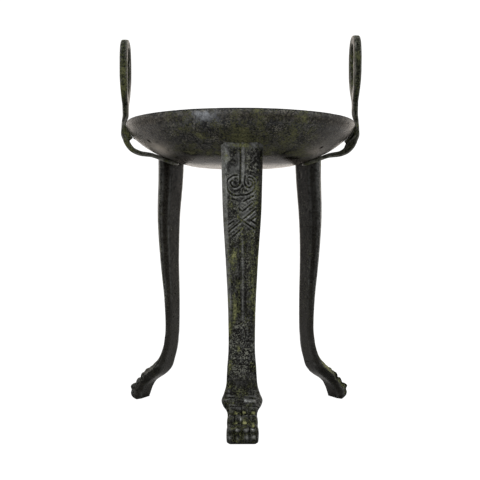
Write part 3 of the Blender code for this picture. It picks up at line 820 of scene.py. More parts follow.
@dataclass
class Leg:
    """Curved leg with a carved front face and a lion's paw."""

    node: str
    degrees: float
    seed: int
    # Strength of the marks on its face (moss and pale spots, painted highlights and painted shade
    # on its right side), and of the growth over its paw
    bright: float = 1.0
    paw_growth: float = 0.0
    inset: float = 0.0325
    width: float = 0.0485
    depth: float = 0.0186
    face_share: float = 0.80
    back_share: float = 0.62
    bevel_share: float = 0.34
    side_share: float = 0.58
    shaft_rows: int = 330
    rows_per_station: int = 9
    # Columns of half a section: face, bevel, side, back bevel, back
    columns: tuple[int, ...] = (46, 9, 7, 10, 10)
    # Height, lean, depth and width of the shaft, as shares
    shaft: Rows = (
        (0.230, -0.0125, 0.393, 0.705), (0.300, -0.0205, 0.430, 0.648),
        (0.429, -0.0143, 0.575, 0.670), (0.589, 0.0006, 0.747, 0.781),
        (0.749, 0.0067, 0.88, 0.922), (0.907, 0.000, 1.00, 0.996),
        (1.065, -0.002, 1.04, 1.045),
    )
    # Ankle and paw: reach and height of the upper end, of the lower end, width, as shares
    foot: Rows = (
        (-0.0137, 0.2319, -0.0347, 0.2290, 0.707), (-0.0032, 0.2013, -0.0289, 0.1984, 0.728),
        (0.0114, 0.1756, -0.0195, 0.1663, 0.755), (0.0335, 0.1532, -0.0073, 0.1356, 0.856),
        (0.0566, 0.1365, 0.0117, 0.1123, 0.979), (0.0773, 0.1214, 0.0321, 0.0968, 0.897),
        (0.0913, 0.1126, 0.0467, 0.0875, 0.773), (0.0977, 0.1030, 0.0583, 0.0796, 0.713),
        (0.0989, 0.0922, 0.0686, 0.0709, 0.697), (0.1117, 0.0887, 0.0779, 0.0607, 0.713),
        (0.1181, 0.0782, 0.0849, 0.0496, 0.726), (0.1234, 0.0665, 0.0907, 0.0391, 0.718),
        (0.1380, 0.0621, 0.0954, 0.0286, 0.742), (0.1456, 0.0525, 0.0995, 0.0187, 0.751),
        (0.1412, 0.0397, 0.1030, 0.0105, 0.751), (0.1450, 0.0245, 0.1059, 0.0041, 0.742),
        (0.1397, 0.0105, 0.1059, 0.0006, 0.722), (0.1254, 0.0000, 0.1076, 0.0000, 0.639),
    )
    toe_share: tuple[float, ...] = (
        0, 0, 0, 0, 0, 0.25, 0.8, 1.0, 0.8, 1.0, 1.0, 0.8, 1.0, 1.0, 0.8, 0.9, 0.6, 0.1)
    toe_edges: tuple[float, ...] = (-1.04, -0.55, -0.05, 0.47, 1.04)
    # The gaps between the toes again, in millimetres across
    toe_gaps: tuple[float, ...] = (-9.0, -0.8, 7.7)
    toe_depth: float = 2.2
    knuckles: tuple[float, ...] = (7.6, 11.0, 13.1)
    # Spots on the paw, across and height in millimetres: yellow-green ones, pale ones; the pale ones
    # are rubbed knuckles and nails with a painted highlight
    green_spots: Rows = (
        (-7.3, 33.0), (1.7, 33.5), (12.3, 33.0), (-7.3, 23.0), (2.2, 23.5), (11.8, 22.5),
    )
    pale_spots: Rows = (
        (-6.7, 17.4), (3.9, 16.8), (11.2, 17.4), (-5.6, 7.8), (5.0, 9.0), (12.3, 10.0),
        (-15.0, 9.0), (-1.2, 27.5),
    )
    # Carved lines on the front face: across and height in millimetres
    scroll_loop: Rows = (
        (-6.4, 303.5), (-10.0, 302.9), (-13.7, 301.1), (-16.5, 298.5), (-18.1, 295.2),
        (-18.4, 291.7), (-17.7, 288.3), (-16.1, 285.0), (-13.6, 282.2), (-10.3, 280.3),
        (-5.8, 279.6), (-1.7, 280.3), (2.3, 280.1), (7.0, 281.4), (11.2, 283.7),
        (14.0, 286.4), (15.1, 290.0), (15.0, 294.1), (14.0, 297.3), (11.4, 299.9), (7.9, 301.1),
    )
    scroll_left: Rows = (
        (-2.3, 302.2), (-2.4, 296.4), (-3.3, 292.7), (-5.8, 290.0), (-9.3, 289.4),
        (-11.9, 290.7), (-13.3, 293.3), (-13.0, 295.5), (-11.7, 297.1),
    )
    scroll_right: Rows = (
        (3.2, 302.2), (2.6, 296.4), (3.4, 292.7), (5.6, 289.8), (8.4, 289.0), (11.0, 290.7),
        (12.0, 293.4), (11.5, 295.7), (9.9, 297.1),
    )
    cuts: tuple[Rows, ...] = (
        ((11.5, 270.3), (0.5, 261.3)), ((15.7, 264.0), (-17.6, 236.0)),
        ((-10.1, 249.7), (-17.6, 244.5)), ((-1.2, 240.2), (-10.7, 231.9)),
        ((12.8, 278.9), (2.2, 273.2)), ((-4.3, 264.8), (-1.2, 262.0)),
        ((-5.1, 254.8), (-1.2, 251.4)), ((0.9, 250.3), (16.9, 238.7)),
        ((16.5, 255.5), (10.5, 250.8), (17.4, 245.6)),
    )
    groove_half: float = 1.0
    groove_depth: float = 1.25
    # Overgrown patches: across, height, half width and half height in millimetres, strength
    overgrown: Rows = (
        (-9.3, 210.0, 5.0, 10.0, 0.30), (3.5, 177.0, 6.0, 10.0, 0.30),
        (-14.0, 268.0, 6.0, 7.0, 0.22), (16.0, 285.0, 3.0, 34.0, 0.10),
        (1.2, 129.5, 3.0, 3.0, 0.50), (-4.0, 98.0, 2.5, 7.0, 0.35),
        (-9.0, 150.0, 8.0, 22.0, 0.22),
    )

    def __post_init__(self) -> None:
        """Work out the reach and height of the leg where it meets the dish."""
        self.reach = RIM_RADIUS - self.inset
        self.height = float(underside_height(np.array([self.reach]))[0])

    def stations(self) -> tuple[Array, Array, Array, Array]:
        """Slices of the leg from the top down.

        Returns:
            Upper ends, lower ends (reach and height), widths, and places along the foot,
            negative on the shaft.
        """
        rows = np.array(self.shaft)
        heights = np.linspace(1.045, 0.262, self.shaft_rows)
        knots = rows[:, 0]
        fine = np.linspace(0, len(rows) - 1, 400)
        curve = spline(rows, fine)
        lean, depth, width = (np.interp(heights, curve[:, 0], curve[:, k]) for k in (1, 2, 3))
        level = heights * self.height
        reach = self.reach + lean * self.height
        upper = np.stack([reach, level], axis=1)
        lower = np.stack([reach - depth * self.depth, level], axis=1)
        ankle = np.array([
            self.slice_share(0.300, curve, knots), self.slice_share(0.262, curve, knots)])
        foot = np.vstack([ankle, np.array(self.foot)])
        places = np.linspace(1, len(foot) - 1, (len(foot) - 2) * self.rows_per_station + 1)[1:]
        lower_part = spline(foot, places)
        foot_upper = lower_part[:, 0:2] * self.height + np.array([self.reach, 0.0])
        foot_lower = lower_part[:, 2:4] * self.height + np.array([self.reach, 0.0])
        foot_upper[:, 1] = np.maximum(foot_upper[:, 1], 0.0)
        foot_lower[:, 1] = np.maximum(foot_lower[:, 1], 0.0)
        return (np.vstack([upper, foot_upper]), np.vstack([lower, foot_lower]),
                np.concatenate([width, lower_part[:, 4]]) * self.width,
                np.concatenate([np.full(len(heights), -1.0), places - 2.0]))

    def slice_share(self, height: float, curve: Array, knots: Array) -> list[float]:
        """Row of the foot's kind for a slice of the shaft."""
        lean, depth, width = (float(np.interp(height, curve[:, 0], curve[:, k]))
                              for k in (1, 2, 3))
        back = lean - depth * self.depth / self.height
        return [lean, height, back, height, width]

    def section(self) -> tuple[Array, Array]:
        """Columns of half a section: number of the side they lie on and share along it."""
        side, share = [], []
        for k, count in enumerate(self.columns):
            side += [k] * count
            share += list(np.arange(count) / count)
        return np.array(side + [len(self.columns) - 1]), np.array(share + [1.0])

    def line_distance(self, across: Array, level: Array, route: Array) -> Array:
        """Distance in millimetres from a carved line, for every point of the face."""
        best = np.full(across.shape, 1e3)
        for a, b in zip(route[:-1], route[1:]):
            run = b - a
            t = ((across - a[0]) * run[0] + (level - a[1]) * run[1]) / (run @ run)
            t = np.clip(t, 0.0, 1.0)
            best = np.minimum(best, np.hypot(across - a[0] - t * run[0],
                                             level - a[1] - t * run[1]))
        return best

    def carving(self, across: Array, level: Array) -> Array:
        """Height in millimetres of the ribs and carved lines on the shaft's face."""
        noise = Noise(self.seed + 3)
        where = np.stack([across, level * 0.35, level * 0], axis=2) * MM
        wobble = 0.35 * noise.at(where, 0.008)
        x = across + wobble
        upper = ease(level, 290.0, 296.0)
        lower = ease(level, 105.0, 150.0) * (1.0 - ease(level, 229.0, 235.0))
        relief = upper * (1.15 * bump(x, 0.8, 2.0) - 0.95 * bump(x, -2.3, 1.1)
                          - 0.3 * bump(x, 4.0, 1.2))
        relief = relief + lower * (
            0.95 * bump(x, 0.5, 1.7) - 0.85 * bump(x, -2.8, 1.6) - 0.85 * bump(x, 3.9, 1.6)
            + 0.40 * bump(x, -7.6, 1.8) + 0.40 * bump(x, 8.4, 1.8)
            - 0.60 * bump(x, -11.5, 1.7) - 0.60 * bump(x, 12.0, 1.7))
        routes = [np.array(r) for r in (self.scroll_loop, self.scroll_left, self.scroll_right)]
        routes = [spline(r, np.linspace(0, len(r) - 1, 3 * len(r))) for r in routes]
        routes += [np.array(r) for r in self.cuts]
        nearest = np.full(across.shape, 1e3)
        near = (level > 225.0) & (level < 310.0)
        for route in routes:
            distance = self.line_distance(across[near], level[near], route)
            nearest[near] = np.minimum(nearest[near], distance)
        worn = 0.85 + 0.3 * noise.at(where, 0.012)
        relief = relief - self.groove_depth * worn * np.exp(-((nearest / self.groove_half) ** 2))
        return relief + 0.08 * bump(nearest, 2.1, 0.8)

    def paw(self, share: Array, across: Array, place: Array) -> Array:
        """Height in millimetres of the folds, toes, knuckles and nails.

        Args:
            share: Column's place on the face, from -1 to 1.
            across: Distance from the middle in millimetres.
            place: Station along the foot.

        Returns:
            Height of the relief.
        """
        toes = np.interp(place, np.arange(len(self.toe_share)), self.toe_share)
        relief = np.zeros(share.shape)
        edges = self.toe_edges
        spread = self.knuckle_spread()
        for k in range(4):
            middle = (edges[k] + edges[k + 1]) / 2
            half = (edges[k + 1] - edges[k]) / 2
            inside = np.clip(np.abs(share - middle) / half, 0.0, 1.0)
            member = (share >= edges[k]) & (share < edges[k + 1])
            crown = np.sqrt(np.maximum(1.0 - inside ** 2.4, 0.0)) - 1.0
            knuckle = sum(bump(place, at + 0.12 * (k % 2), spread) for at in self.knuckles)
            nail = bump(place, 15.0, 1.0) * (0.5 * (inside < 0.55) - 0.55 * bump(inside, 0.66, 0.1))
            bulge = (0.95 * knuckle) * np.maximum(1.0 - inside ** 2, 0.0)
            relief = relief + member * (toes * (self.toe_depth * crown + bulge) + nail)
        sag = 0.9 * (across / 14.0) ** 2
        for at, tall in ((2.2, 0.15), (3.1, 0.22)):
            relief = relief - tall * bump(place + 0.25 * sag, at + 0.4, 0.16)
        facet = ease(across, 1.0, 3.0) * (1.0 - ease(across, 13.0, 17.0))
        slant = place - 0.02 * across
        relief = relief + facet * (1.3 * bump(slant, 4.35, 0.34) - 0.9 * bump(slant, 3.75, 0.14)
                                   - 1.0 * bump(slant, 5.20, 0.16))
        fold = ease(-across, 7.0, 10.0) * (1.0 - ease(-across, 18.0, 21.0))
        relief = relief + fold * (0.6 * bump(place, 4.3, 0.3) - 0.8 * bump(place, 3.9, 0.14)
                                  - 0.6 * bump(place, 4.8, 0.14))
        relief = relief - 0.7 * ease(np.abs(across), 3.0, 8.0) * bump(place, 5.6, 0.2)
        return relief

    def knuckle_spread(self) -> float:
        """Length of a knuckle in stations."""
        return 0.62

    def points(self) -> tuple[Array, Array, Array, Array]:
        """Grid of the leg's skin with its face mask, stations and raw relief."""
        upper, lower, width, place = self.stations()
        side, share = self.section()
        flange = (ease(place, 2.4, 4.0) * (1.0 - ease(place, 4.0, 6.5)))[:, None]
        crease = (ease(place, 2.4, 4.0) * 0.6 * (1.0 - ease(place, 9.0, 15.0)))[:, None]
        paw = ease(place, 5.0, 8.0)[:, None]
        face = self.face_share - 0.20 * flange + 0.10 * paw
        one = np.ones_like(face)
        knots_x = [0 * one, face, one, one,
                   self.back_share - 0.10 * flange, 0 * one]
        knots_d = [0 * one, 0 * one, self.bevel_share + 0.11 * np.maximum(flange, crease),
                   self.side_share - 0.09 * np.maximum(flange, crease), one, one]
        x = np.empty((len(width), len(side)))
        d = np.empty_like(x)
        for k in range(len(self.columns)):
            part = side == k
            t = share[part][None, :]
            x[:, part] = knots_x[k] + (knots_x[k + 1] - knots_x[k]) * t
            d[:, part] = knots_d[k] + (knots_d[k + 1] - knots_d[k]) * t
        face_place = np.clip(x / face, -1.0, 1.0)
        half = width[:, None] / 2
        run = (lower - upper)[:, None, :]
        right = upper[:, None, :] + run * d[..., None]
        across = x * half
        mirrored = slice(-2, 0, -1)
        across = np.hstack([across, -across[:, mirrored]])
        flat = np.concatenate([right, right[:, mirrored]], axis=1)
        points = np.stack([across, -flat[..., 0], flat[..., 1]], axis=2)
        face_place = np.hstack([face_place, -face_place[:, mirrored]])
        depth_place = np.hstack([d, d[:, mirrored]])
        return points, face_place, depth_place, place

    def fit_top(self, points: Array) -> Array:
        """Move the top rows so that they end on the underside of the dish."""
        top_rows = 26
        base = points[top_rows, :, 2].mean()
        top = points[0, :, 2].mean()
        radius = np.hypot(points[..., 0], points[..., 1])
        seat = underside_height(radius) - GAP
        chips = 0.35 * MM * np.abs(Noise(self.seed + 9).at(points, 0.005))
        share = np.clip((points[..., 2] - base) / (top - base), 0.0, 1.0)
        points[..., 2] += share * (seat - chips - top) * (share > 0)
        return points

    def shape(self) -> bpy.types.Object:
        """Skin of the leg with its carving and unevenness, standing at its own angle."""
        points, face_place, depth_place, place = self.points()
        for _ in range(3):
            soft = (np.roll(points, 1, axis=1) + np.roll(points, -1, axis=1)) / 2
            points = 0.5 * points + 0.5 * soft
        normal = -grid_normals(points)
        on_face = 1.0 - ease(depth_place, 0.0, 0.12)
        across = points[..., 0] / MM
        level = points[..., 2] / MM
        shaft_row = (place < 0)[:, None]
        fade = 1.0 - ease(np.abs(face_place), 0.90, 1.0)
        relief = self.carving(across, level) * fade * shaft_row
        foot_place = np.repeat(place[:, None], across.shape[1], axis=1)
        on_paw = 1.0 - ease(depth_place, 0.10, 0.55)
        around = face_place + np.sign(face_place) * np.minimum(depth_place * 1.2, 0.04)
        relief = relief * on_face + self.paw(around, across, foot_place) * on_paw * ~shaft_row
        noise = Noise(self.seed)
        stretched = points * np.array([1.0, 1.0, 0.32])
        uneven = 0.20 * noise.layered(stretched, 0.014, 2) + 0.09 * noise.layered(points, 0.005, 2)
        pits = 0.9 * np.maximum(noise.at(points, 0.0032) - 0.6, 0.0)
        sole = ease(level, 0.3, 2.0)
        points = points + normal * ((relief + uneven - pits) * sole * MM)[..., None]
        points[..., 2] = np.maximum(points[..., 2], 0.0)
        points = self.fit_top(points)
        angle = math.radians(self.degrees)
        turn = np.array(Matrix.Rotation(angle, 3, "Z"))
        placed = points @ turn.T + np.array([0.0, AXIS_Y, 0.0])
        return tube_mesh("cast_" + self.node, placed)

    def mark(self, piece: bpy.types.Object) -> None:
        """Store where the leg is hollow, raised, overgrown, rubbed, smooth and painted with shade
        and highlights.
        """
        mesh = piece.data
        hollow, edge = relief_masks(mesh, 9, 0.00020)
        turn = np.array(Matrix.Rotation(-math.radians(self.degrees), 3, "Z"))
        places = (places_of(mesh) - np.array([0.0, AXIS_Y, 0.0])) @ turn.T
        normals = normals_of(mesh)
        outward = -(normals @ turn.T)[:, 1]
        front = ease(outward, 0.15, 0.5)
        across, level = places[:, 0] / MM, places[:, 2] / MM
        noise = Noise(self.seed + 5)
        stretched = places * np.array([1.0, 1.0, 0.4])
        streaks = noise.layered(stretched, 0.016, 3)
        crust = noise.layered(stretched + 0.5, 0.009, 3)
        threads = noise.layered(places * np.array([1.0, 1.0, 0.12]), 0.004, 2)
        head = self.height / MM
        band = bump(level, head - 3.0, 2.6) * front
        patch = bump(across, -19.0, 3.5) * bump(level, head - 15.0, 7.0) * front
        green = sum(bump(across, x, 1.7) * bump(level, z, 1.5) for x, z in self.green_spots)
        # Pale spots: rubbed knuckles and nails with a painted highlight on them
        pale = sum(bump(across, x, 1.6) * bump(level, z, 1.8) for x, z in self.pale_spots)
        # Painted highlight on the ankle's facet, the wedge that faces the light
        low, high = 42.0 + 0.16 * (across - 2.0), 48.5 - 0.30 * (across - 2.0)
        facet = (ease(level, low - 0.6, low + 0.6) * (1.0 - ease(level, high - 0.6, high + 0.6))
                 * ease(across, 1.5, 2.6) * (1.0 - ease(across, 14.0, 16.5))) * front
        green, pale, facet = (self.bright * mark for mark in (green, pale, facet))
        halo = sum(bump(across, x, 3.8) * bump(level, z, 3.4) for x, z in self.green_spots)
        # Painted shade in the gaps between the toes
        gaps = sum(bump(across, x, 0.9) for x in self.toe_gaps) * (1.0 - ease(level, 34.0, 40.0))
        on_paw = 1.0 - ease(level, 62.0, 86.0)
        shin = ease(level, 80.0, 110.0) * (1.0 - ease(level, 215.0, 250.0))
        growth = 0.26 + 0.28 * streaks + 0.30 * crust + shin * (0.08 + 0.34 * threads)
        growth = growth * (1.0 - 0.30 * on_paw)
        for x, z, wide, tall, strength in self.overgrown:
            growth = growth + strength * bump(across, x, wide) * bump(level, z, tall)
        growth = growth * (1.0 - 0.4 * ease(level, head - 42.0, head - 34.0))
        growth = growth + (0.16 + 0.8 * crust) * band + 0.60 * patch + 1.3 * green * front
        growth = growth * (0.35 + 0.65 * front) * (1.0 - facet)
        upper = ease(normals[:, 2] + 0.6 * outward, -0.3, 0.6) * (1.0 - ease(level, 80.0, 110.0))
        growth = growth + self.paw_growth * upper * (0.75 + 0.9 * crust)
        carved = ease(level, 222.0, 236.0)
        dark = (0.75 - 0.45 * carved) * ease(crust, 0.10, 0.45)
        dark = dark * (1.0 - 0.6 * ease(level, 292.0, 300.0))
        dark = np.maximum(dark, on_paw * (0.50 + 0.7 * crust))
        dark = np.maximum(dark, np.maximum(np.minimum(1.9 * halo, 1.0), 0.9 * gaps))
        rows = np.array(self.shaft)
        half = np.interp(level, rows[:, 0] * head, rows[:, 3] * self.width / (2 * MM))
        # Painted shade down the right side of the face, away from the key light
        right = self.bright * ease(across / half, 0.66, 0.80) * ease(level, 100.0, 140.0)
        # Painted highlight lines along the edges of the face, left out where the right side is
        # shaded
        edge_highlight = (bump(np.abs(across) / half, 0.90, 0.07) * ease(level, 110.0, 150.0)
                  * ease(outward, 0.2, 0.5) * (1.0 - ease(outward, 0.75, 0.95)))
        ankle = ease(level, 62.0, 80.0) * (1.0 - ease(level, 128.0, 150.0))
        dark = np.maximum(dark, (0.75 + 0.5 * crust) * right)
        # Painted shade in the flute left of the middle rib; the worn mask adds a painted highlight
        # on the crest
        ribbed = ease(level, 292.0, 298.0) + 0.6 * (1.0 - carved) * ease(level, 105.0, 140.0)
        dark = np.maximum(dark, 0.8 * ribbed * bump(across, -2.2, 1.1)) * front
        rubbed = 0.40 - 0.22 * (1.0 - ease(level, 150.0, 230.0))
        # Worn: rubbing and the top band and patch, plus painted highlights on spots, facet, rib and
        # face edges
        worn = (rubbed * ease(noise.layered(places, 0.022, 2), 0.1, 0.6) * (1.0 - on_paw)
                + 0.9 * band + 1.0 * patch + 1.3 * pale * front + 0.16 * facet
                + 0.45 * ribbed * bump(across, 1.0, 1.2) * front + 0.75 * edge_highlight * (1.0 - right)
                + 0.40 * (1.0 - ease(across / half, -0.86, -0.66)) * ease(level, 225.0, 255.0))
        # Painted shade on faces that look down
        dark = np.maximum(dark * (1.0 - 0.6 * self.paw_growth * upper),
                          0.50 * ease(-normals[:, 2], 0.10, 0.55))
        set_mask(mesh, "hollow", np.maximum(hollow * (1.0 - 0.8 * facet), dark * (
            1.0 - np.minimum(green + pale + facet, 1.0))))
        set_mask(mesh, "edge", edge * (0.1 + 0.9 * self.bright) * (1.0 - 0.7 * right)
                 * (1.0 - 0.5 * ankle))
        set_mask(mesh, "growth", growth)
        set_mask(mesh, "worn", worn * (0.4 + 0.6 * front))
        calm = 0.2 + 0.3 * noise.at(places, 0.03) + 0.45 * ankle * ease(streaks + threads, -0.1, 0.5)
        # Smooth: calm patches, and faces turned inwards and back, which the dark smooth tones paint
        # in shade
        set_mask(mesh, "smooth", np.maximum(calm, 0.95 * ease(-outward, -0.3, 0.2)))

    def build(self, finish: bpy.types.Material) -> bpy.types.Object:
        """Build and dress the leg."""
        piece = self.shape()
        self.mark(piece)
        dress(piece, finish, self.node)
        return piece


@dataclass
class Handle:
    """Teardrop loop on a stem that bends under the rim and ends in a tail."""

    side: Side
    node: str
    stem: float
    seed: int
    ring_height: float = 0.0910
    ring_width: float = 0.0496
    ring_bar: float = 0.0109
    ring_foot: float = 0.0164
    ring_depth: float = 0.0095
    ring_foot_depth: float = 0.0070
    strap_thickness: float = 0.0058
    strap_width: float = 0.0092
    lug_width: float = 0.0064
    lug_drop: float = 0.41
    corners: int = 24
    voxel: float = 0.00062
    teardrop: Rows = (
        (0.00, 0.00), (0.03, 0.18), (0.13, 0.50), (0.23, 0.75), (0.35, 0.93), (0.47, 1.00),
        (0.67, 1.00), (0.80, 0.92), (0.90, 0.76), (0.97, 0.45), (1.00, 0.00),
    )
    # Stem: height above the rim, thickness and width, as shares
    stem_rows: Rows = ((1.60, 1.24, 1.85), (1.00, 1.26, 1.28), (0.56, 1.22, 1.06),
                       (0.28, 1.02, 1.00), (0.00, 0.84, 1.00))
    bend_swell: float = 0.0
    bend: Rows = (
        (1.0200, 0.137, 0.92), (1.0200, 0.263, 1.00), (1.0020, 0.367, 1.20),
        (0.9920, 0.439, 1.20), (0.9690, 0.543, 1.17), (0.9340, 0.635, 1.10),
        (0.8750, 0.703, 1.02), (0.8210, 0.725, 0.94), (0.7690, 0.748, 0.86),
    )
    tail_radii: tuple[float, ...] = (0.690, 0.615, 0.540)
    tail_taper: float = 0.80

    def bar(self, centre: Array, across: Array, normal: Array, width: Array,
            thickness: Array) -> Array:
        """Rings of a round-cornered bar.

        Args:
            centre: Middle of each ring.
            across: Direction of each ring's width.
            normal: Direction of each ring's thickness.
            width: Size across.
            thickness: Size along the normal.

        Returns:
            Rings by corners by 3.
        """
        turn = np.linspace(0, 2 * math.pi, self.corners, endpoint=False)
        power = 0.45
        a = np.sign(np.cos(turn)) * np.abs(np.cos(turn)) ** power
        b = np.sign(np.sin(turn)) * np.abs(np.sin(turn)) ** power
        return (centre[:, None, :] + across[:, None, :] * (a * width[:, None] / 2)[..., None]
                + normal[:, None, :] * (b * thickness[:, None] / 2)[..., None])

    def outline(self, top: float, height: float, width: float) -> Array:
        """Teardrop outline once round from its foot, as rows of across and height."""
        rows = np.array([(u * width / 2, top - height * (1 - v)) for v, u in self.teardrop])
        right = spline(rows, np.linspace(0, len(rows) - 1, 8 * (len(rows) - 1) + 1))
        return np.vstack([right, right[-2:0:-1] * np.array([-1.0, 1.0])])

    def loop(self) -> bpy.types.Object:
        """Ring of the handle."""
        foot = RIM_HEIGHT + self.stem
        top = foot + self.ring_height
        outside = self.outline(top, self.ring_height, self.ring_width)
        inside = self.outline(top - self.ring_bar,
                              self.ring_height - self.ring_bar - self.ring_foot,
                              self.ring_width - 2 * self.ring_bar)
        gap = outside - inside
        thickness = np.linalg.norm(gap, axis=1)
        direction = gap / thickness[:, None]
        middle = (outside + inside) / 2
        share = np.clip((foot + 0.45 * self.ring_height - middle[:, 1])
                        / (0.45 * self.ring_height), 0.0, 1.0)
        depth = self.ring_depth + (self.ring_foot_depth - self.ring_depth) * share
        flat = np.zeros(len(middle))
        centre = np.stack([flat + RIM_RADIUS + GAP, middle[:, 0], middle[:, 1]], axis=1)
        across = np.stack([flat + 1.0, flat, flat], axis=1)
        normal = np.stack([flat, direction[:, 0], direction[:, 1]], axis=1)
        return tube_mesh("loop", self.bar(centre, across, normal, depth, thickness), True)

    def strap(self) -> bpy.types.Object:
        """Stem, bend and tail in one bar."""
        rows = []
        for up, thick, wide in self.stem_rows:
            thickness = thick * self.strap_thickness
            beside = 1.0 - min(max((up - 0.05) / 0.40, 0.0), 1.0)
            rows.append((RIM_RADIUS + GAP + beside * thickness / 2,
                         RIM_HEIGHT + up * self.stem, thickness, wide))
        for share, down, thick in self.bend:
            swell = self.bend_swell * float(bump(down, 0.52, 0.14))
            rows.append((share * RIM_RADIUS - 0.4 * swell,
                         RIM_HEIGHT - down * DISH_DEPTH + 0.3 * swell,
                         thick * self.strap_thickness + swell, 1.0))
        thickness = self.tail_taper * self.strap_thickness
        drop = 1.5 * GAP + thickness / 2
        step = 0.01 * RIM_RADIUS
        for share in self.tail_radii:
            radius = share * RIM_RADIUS
            low, high = underside_height(np.array([radius - step, radius + step]))
            out = Vector(((high - low) / (2 * step), -1.0)).normalized()
            middle = float(underside_height(np.array([radius]))[0])
            rows.append((radius + out.x * drop, middle + out.y * drop, thickness, 1.0))
        steps = 10 * (len(rows) - 1) + 1
        route = spline(np.array(rows), np.linspace(0, len(rows) - 1, steps))
        along = np.gradient(route[:, :2], axis=0)
        along /= np.linalg.norm(along, axis=1, keepdims=True)
        flat = np.zeros(steps)
        share = np.clip((np.linspace(0, 1, steps) - 0.3) / 0.3, 0.0, 1.0)
        width = self.strap_width * route[:, 3] * (1 + 0.15 * share)
        centre = np.stack([route[:, 0], flat, route[:, 1]], axis=1)
        across = np.stack([flat, flat + 1.0, flat], axis=1)
        normal = np.stack([-along[:, 1], flat, along[:, 0]], axis=1)
        tip = 1.0 - 0.45 * np.clip((np.linspace(0, 1, steps) - 0.97) / 0.03, 0.0, 1.0) ** 2
        return tube_mesh("strap", self.bar(centre, across, normal, width * tip,
                                           route[:, 2] * tip))

    def lug(self) -> bpy.types.Object:
        """Small block that joins the strap to the dish's flank."""
        heights = np.linspace(RIM_HEIGHT - self.lug_drop * DISH_DEPTH,
                              RIM_HEIGHT - 0.06 * DISH_DEPTH, 16)
        line = underside_line()
        near = np.interp(heights, line[:, 1], line[:, 0]) + 2 * GAP
        bend = np.array(self.bend)
        far = RIM_RADIUS * np.interp(heights, (RIM_HEIGHT - bend[:, 1] * DISH_DEPTH)[::-1],
                                     bend[::-1, 0] - 0.015)
        low = 1.0 - ease(heights, heights[0], heights[0] + 0.005)
        near = np.minimum(near + 0.85 * low * (far - near), far - 0.0008)
        flat = np.zeros(len(heights))
        centre = np.stack([(near + far) / 2, flat, heights], axis=1)
        across = np.stack([flat + 1.0, flat, flat], axis=1)
        normal = np.stack([flat, flat + 1.0, flat], axis=1)
        return tube_mesh("lug", self.bar(centre, across, normal, far - near,
                                         flat + self.lug_width))

    def shape(self) -> bpy.types.Object:
        """One casting from the loop, the strap and the lug, with an uneven skin."""
        parts = [self.loop(), self.strap(), self.lug()]
        bm = bmesh.new()
        for part in parts:
            bm.from_mesh(part.data)
            bpy.data.objects.remove(part)
        mesh = bpy.data.meshes.new("cast_" + self.node)
        bm.to_mesh(mesh)
        bm.free()
        piece = finish_mesh("cast_" + self.node, mesh)
        modifier = piece.modifiers.new("join", "REMESH")
        modifier.mode = "VOXEL"
        modifier.voxel_size = self.voxel
        apply_modifiers(piece)
        mesh = piece.data
        mesh.shade_smooth()
        places = averaged(mesh, places_of(mesh), 3)
        move_to(mesh, places)
        noise = Noise(self.seed)
        uneven = 0.25 + 0.10 * noise.layered(places, 0.016, 2) + 0.02 * noise.at(places, 0.003)
        places = places + normals_of(mesh) * (uneven * MM)[:, None]
        turn = 0.0 if self.side is Side.RIGHT else math.pi
        matrix = np.array(Matrix.Rotation(turn, 3, "Z"))
        move_to(mesh, places @ matrix.T + np.array([0.0, AXIS_Y, 0.0]))
        return piece

    def mark(self, piece: bpy.types.Object) -> None:
        """Store where the handle is overgrown, rubbed, smooth and painted with a highlight and a
        reflection.
        """
        mesh = piece.data
        places = places_of(mesh)
        hollow, edge = relief_masks(mesh, 10, 0.00010)
        set_mask(mesh, "hollow", hollow)
        set_mask(mesh, "edge", edge)
        noise = Noise(self.seed + 5)
        set_mask(mesh, "growth", 0.45 + 0.7 * noise.layered(places, 0.014, 3))
        # Painted highlight along the strap's tail under the dish
        tail = 1.0 - ease(np.abs(places[:, 0]), 0.080, 0.090)
        set_mask(mesh, "worn", 0.2 * ease(noise.at(places, 0.02), 0.1, 0.7) + 0.7 * tail)
        # Smooth faces turned to the dish, which the pale smooth tones paint with a reflection
        inward = ease(-normals_of(mesh)[:, 0] * self.side.value, 0.55, 0.9)
        rise = places[:, 2] - RIM_HEIGHT - self.stem
        low = ease(rise, -0.012, -0.002) * (1.0 - ease(rise, 0.022, 0.042))
        near = 1.0 - ease(places[:, 1] - AXIS_Y, -0.004, 0.004)
        inner = np.maximum(low, 0.65 * near * ease(rise, 0.0, 0.02))
        set_mask(mesh, "smooth", inward * inner * (0.85 + 0.4 * noise.at(places, 0.012)))

    def build(self, finish: bpy.types.Material) -> bpy.types.Object:
        """Build and dress the handle."""
        piece = self.shape()
        self.mark(piece)
        dress(piece, finish, self.node)
        return piece


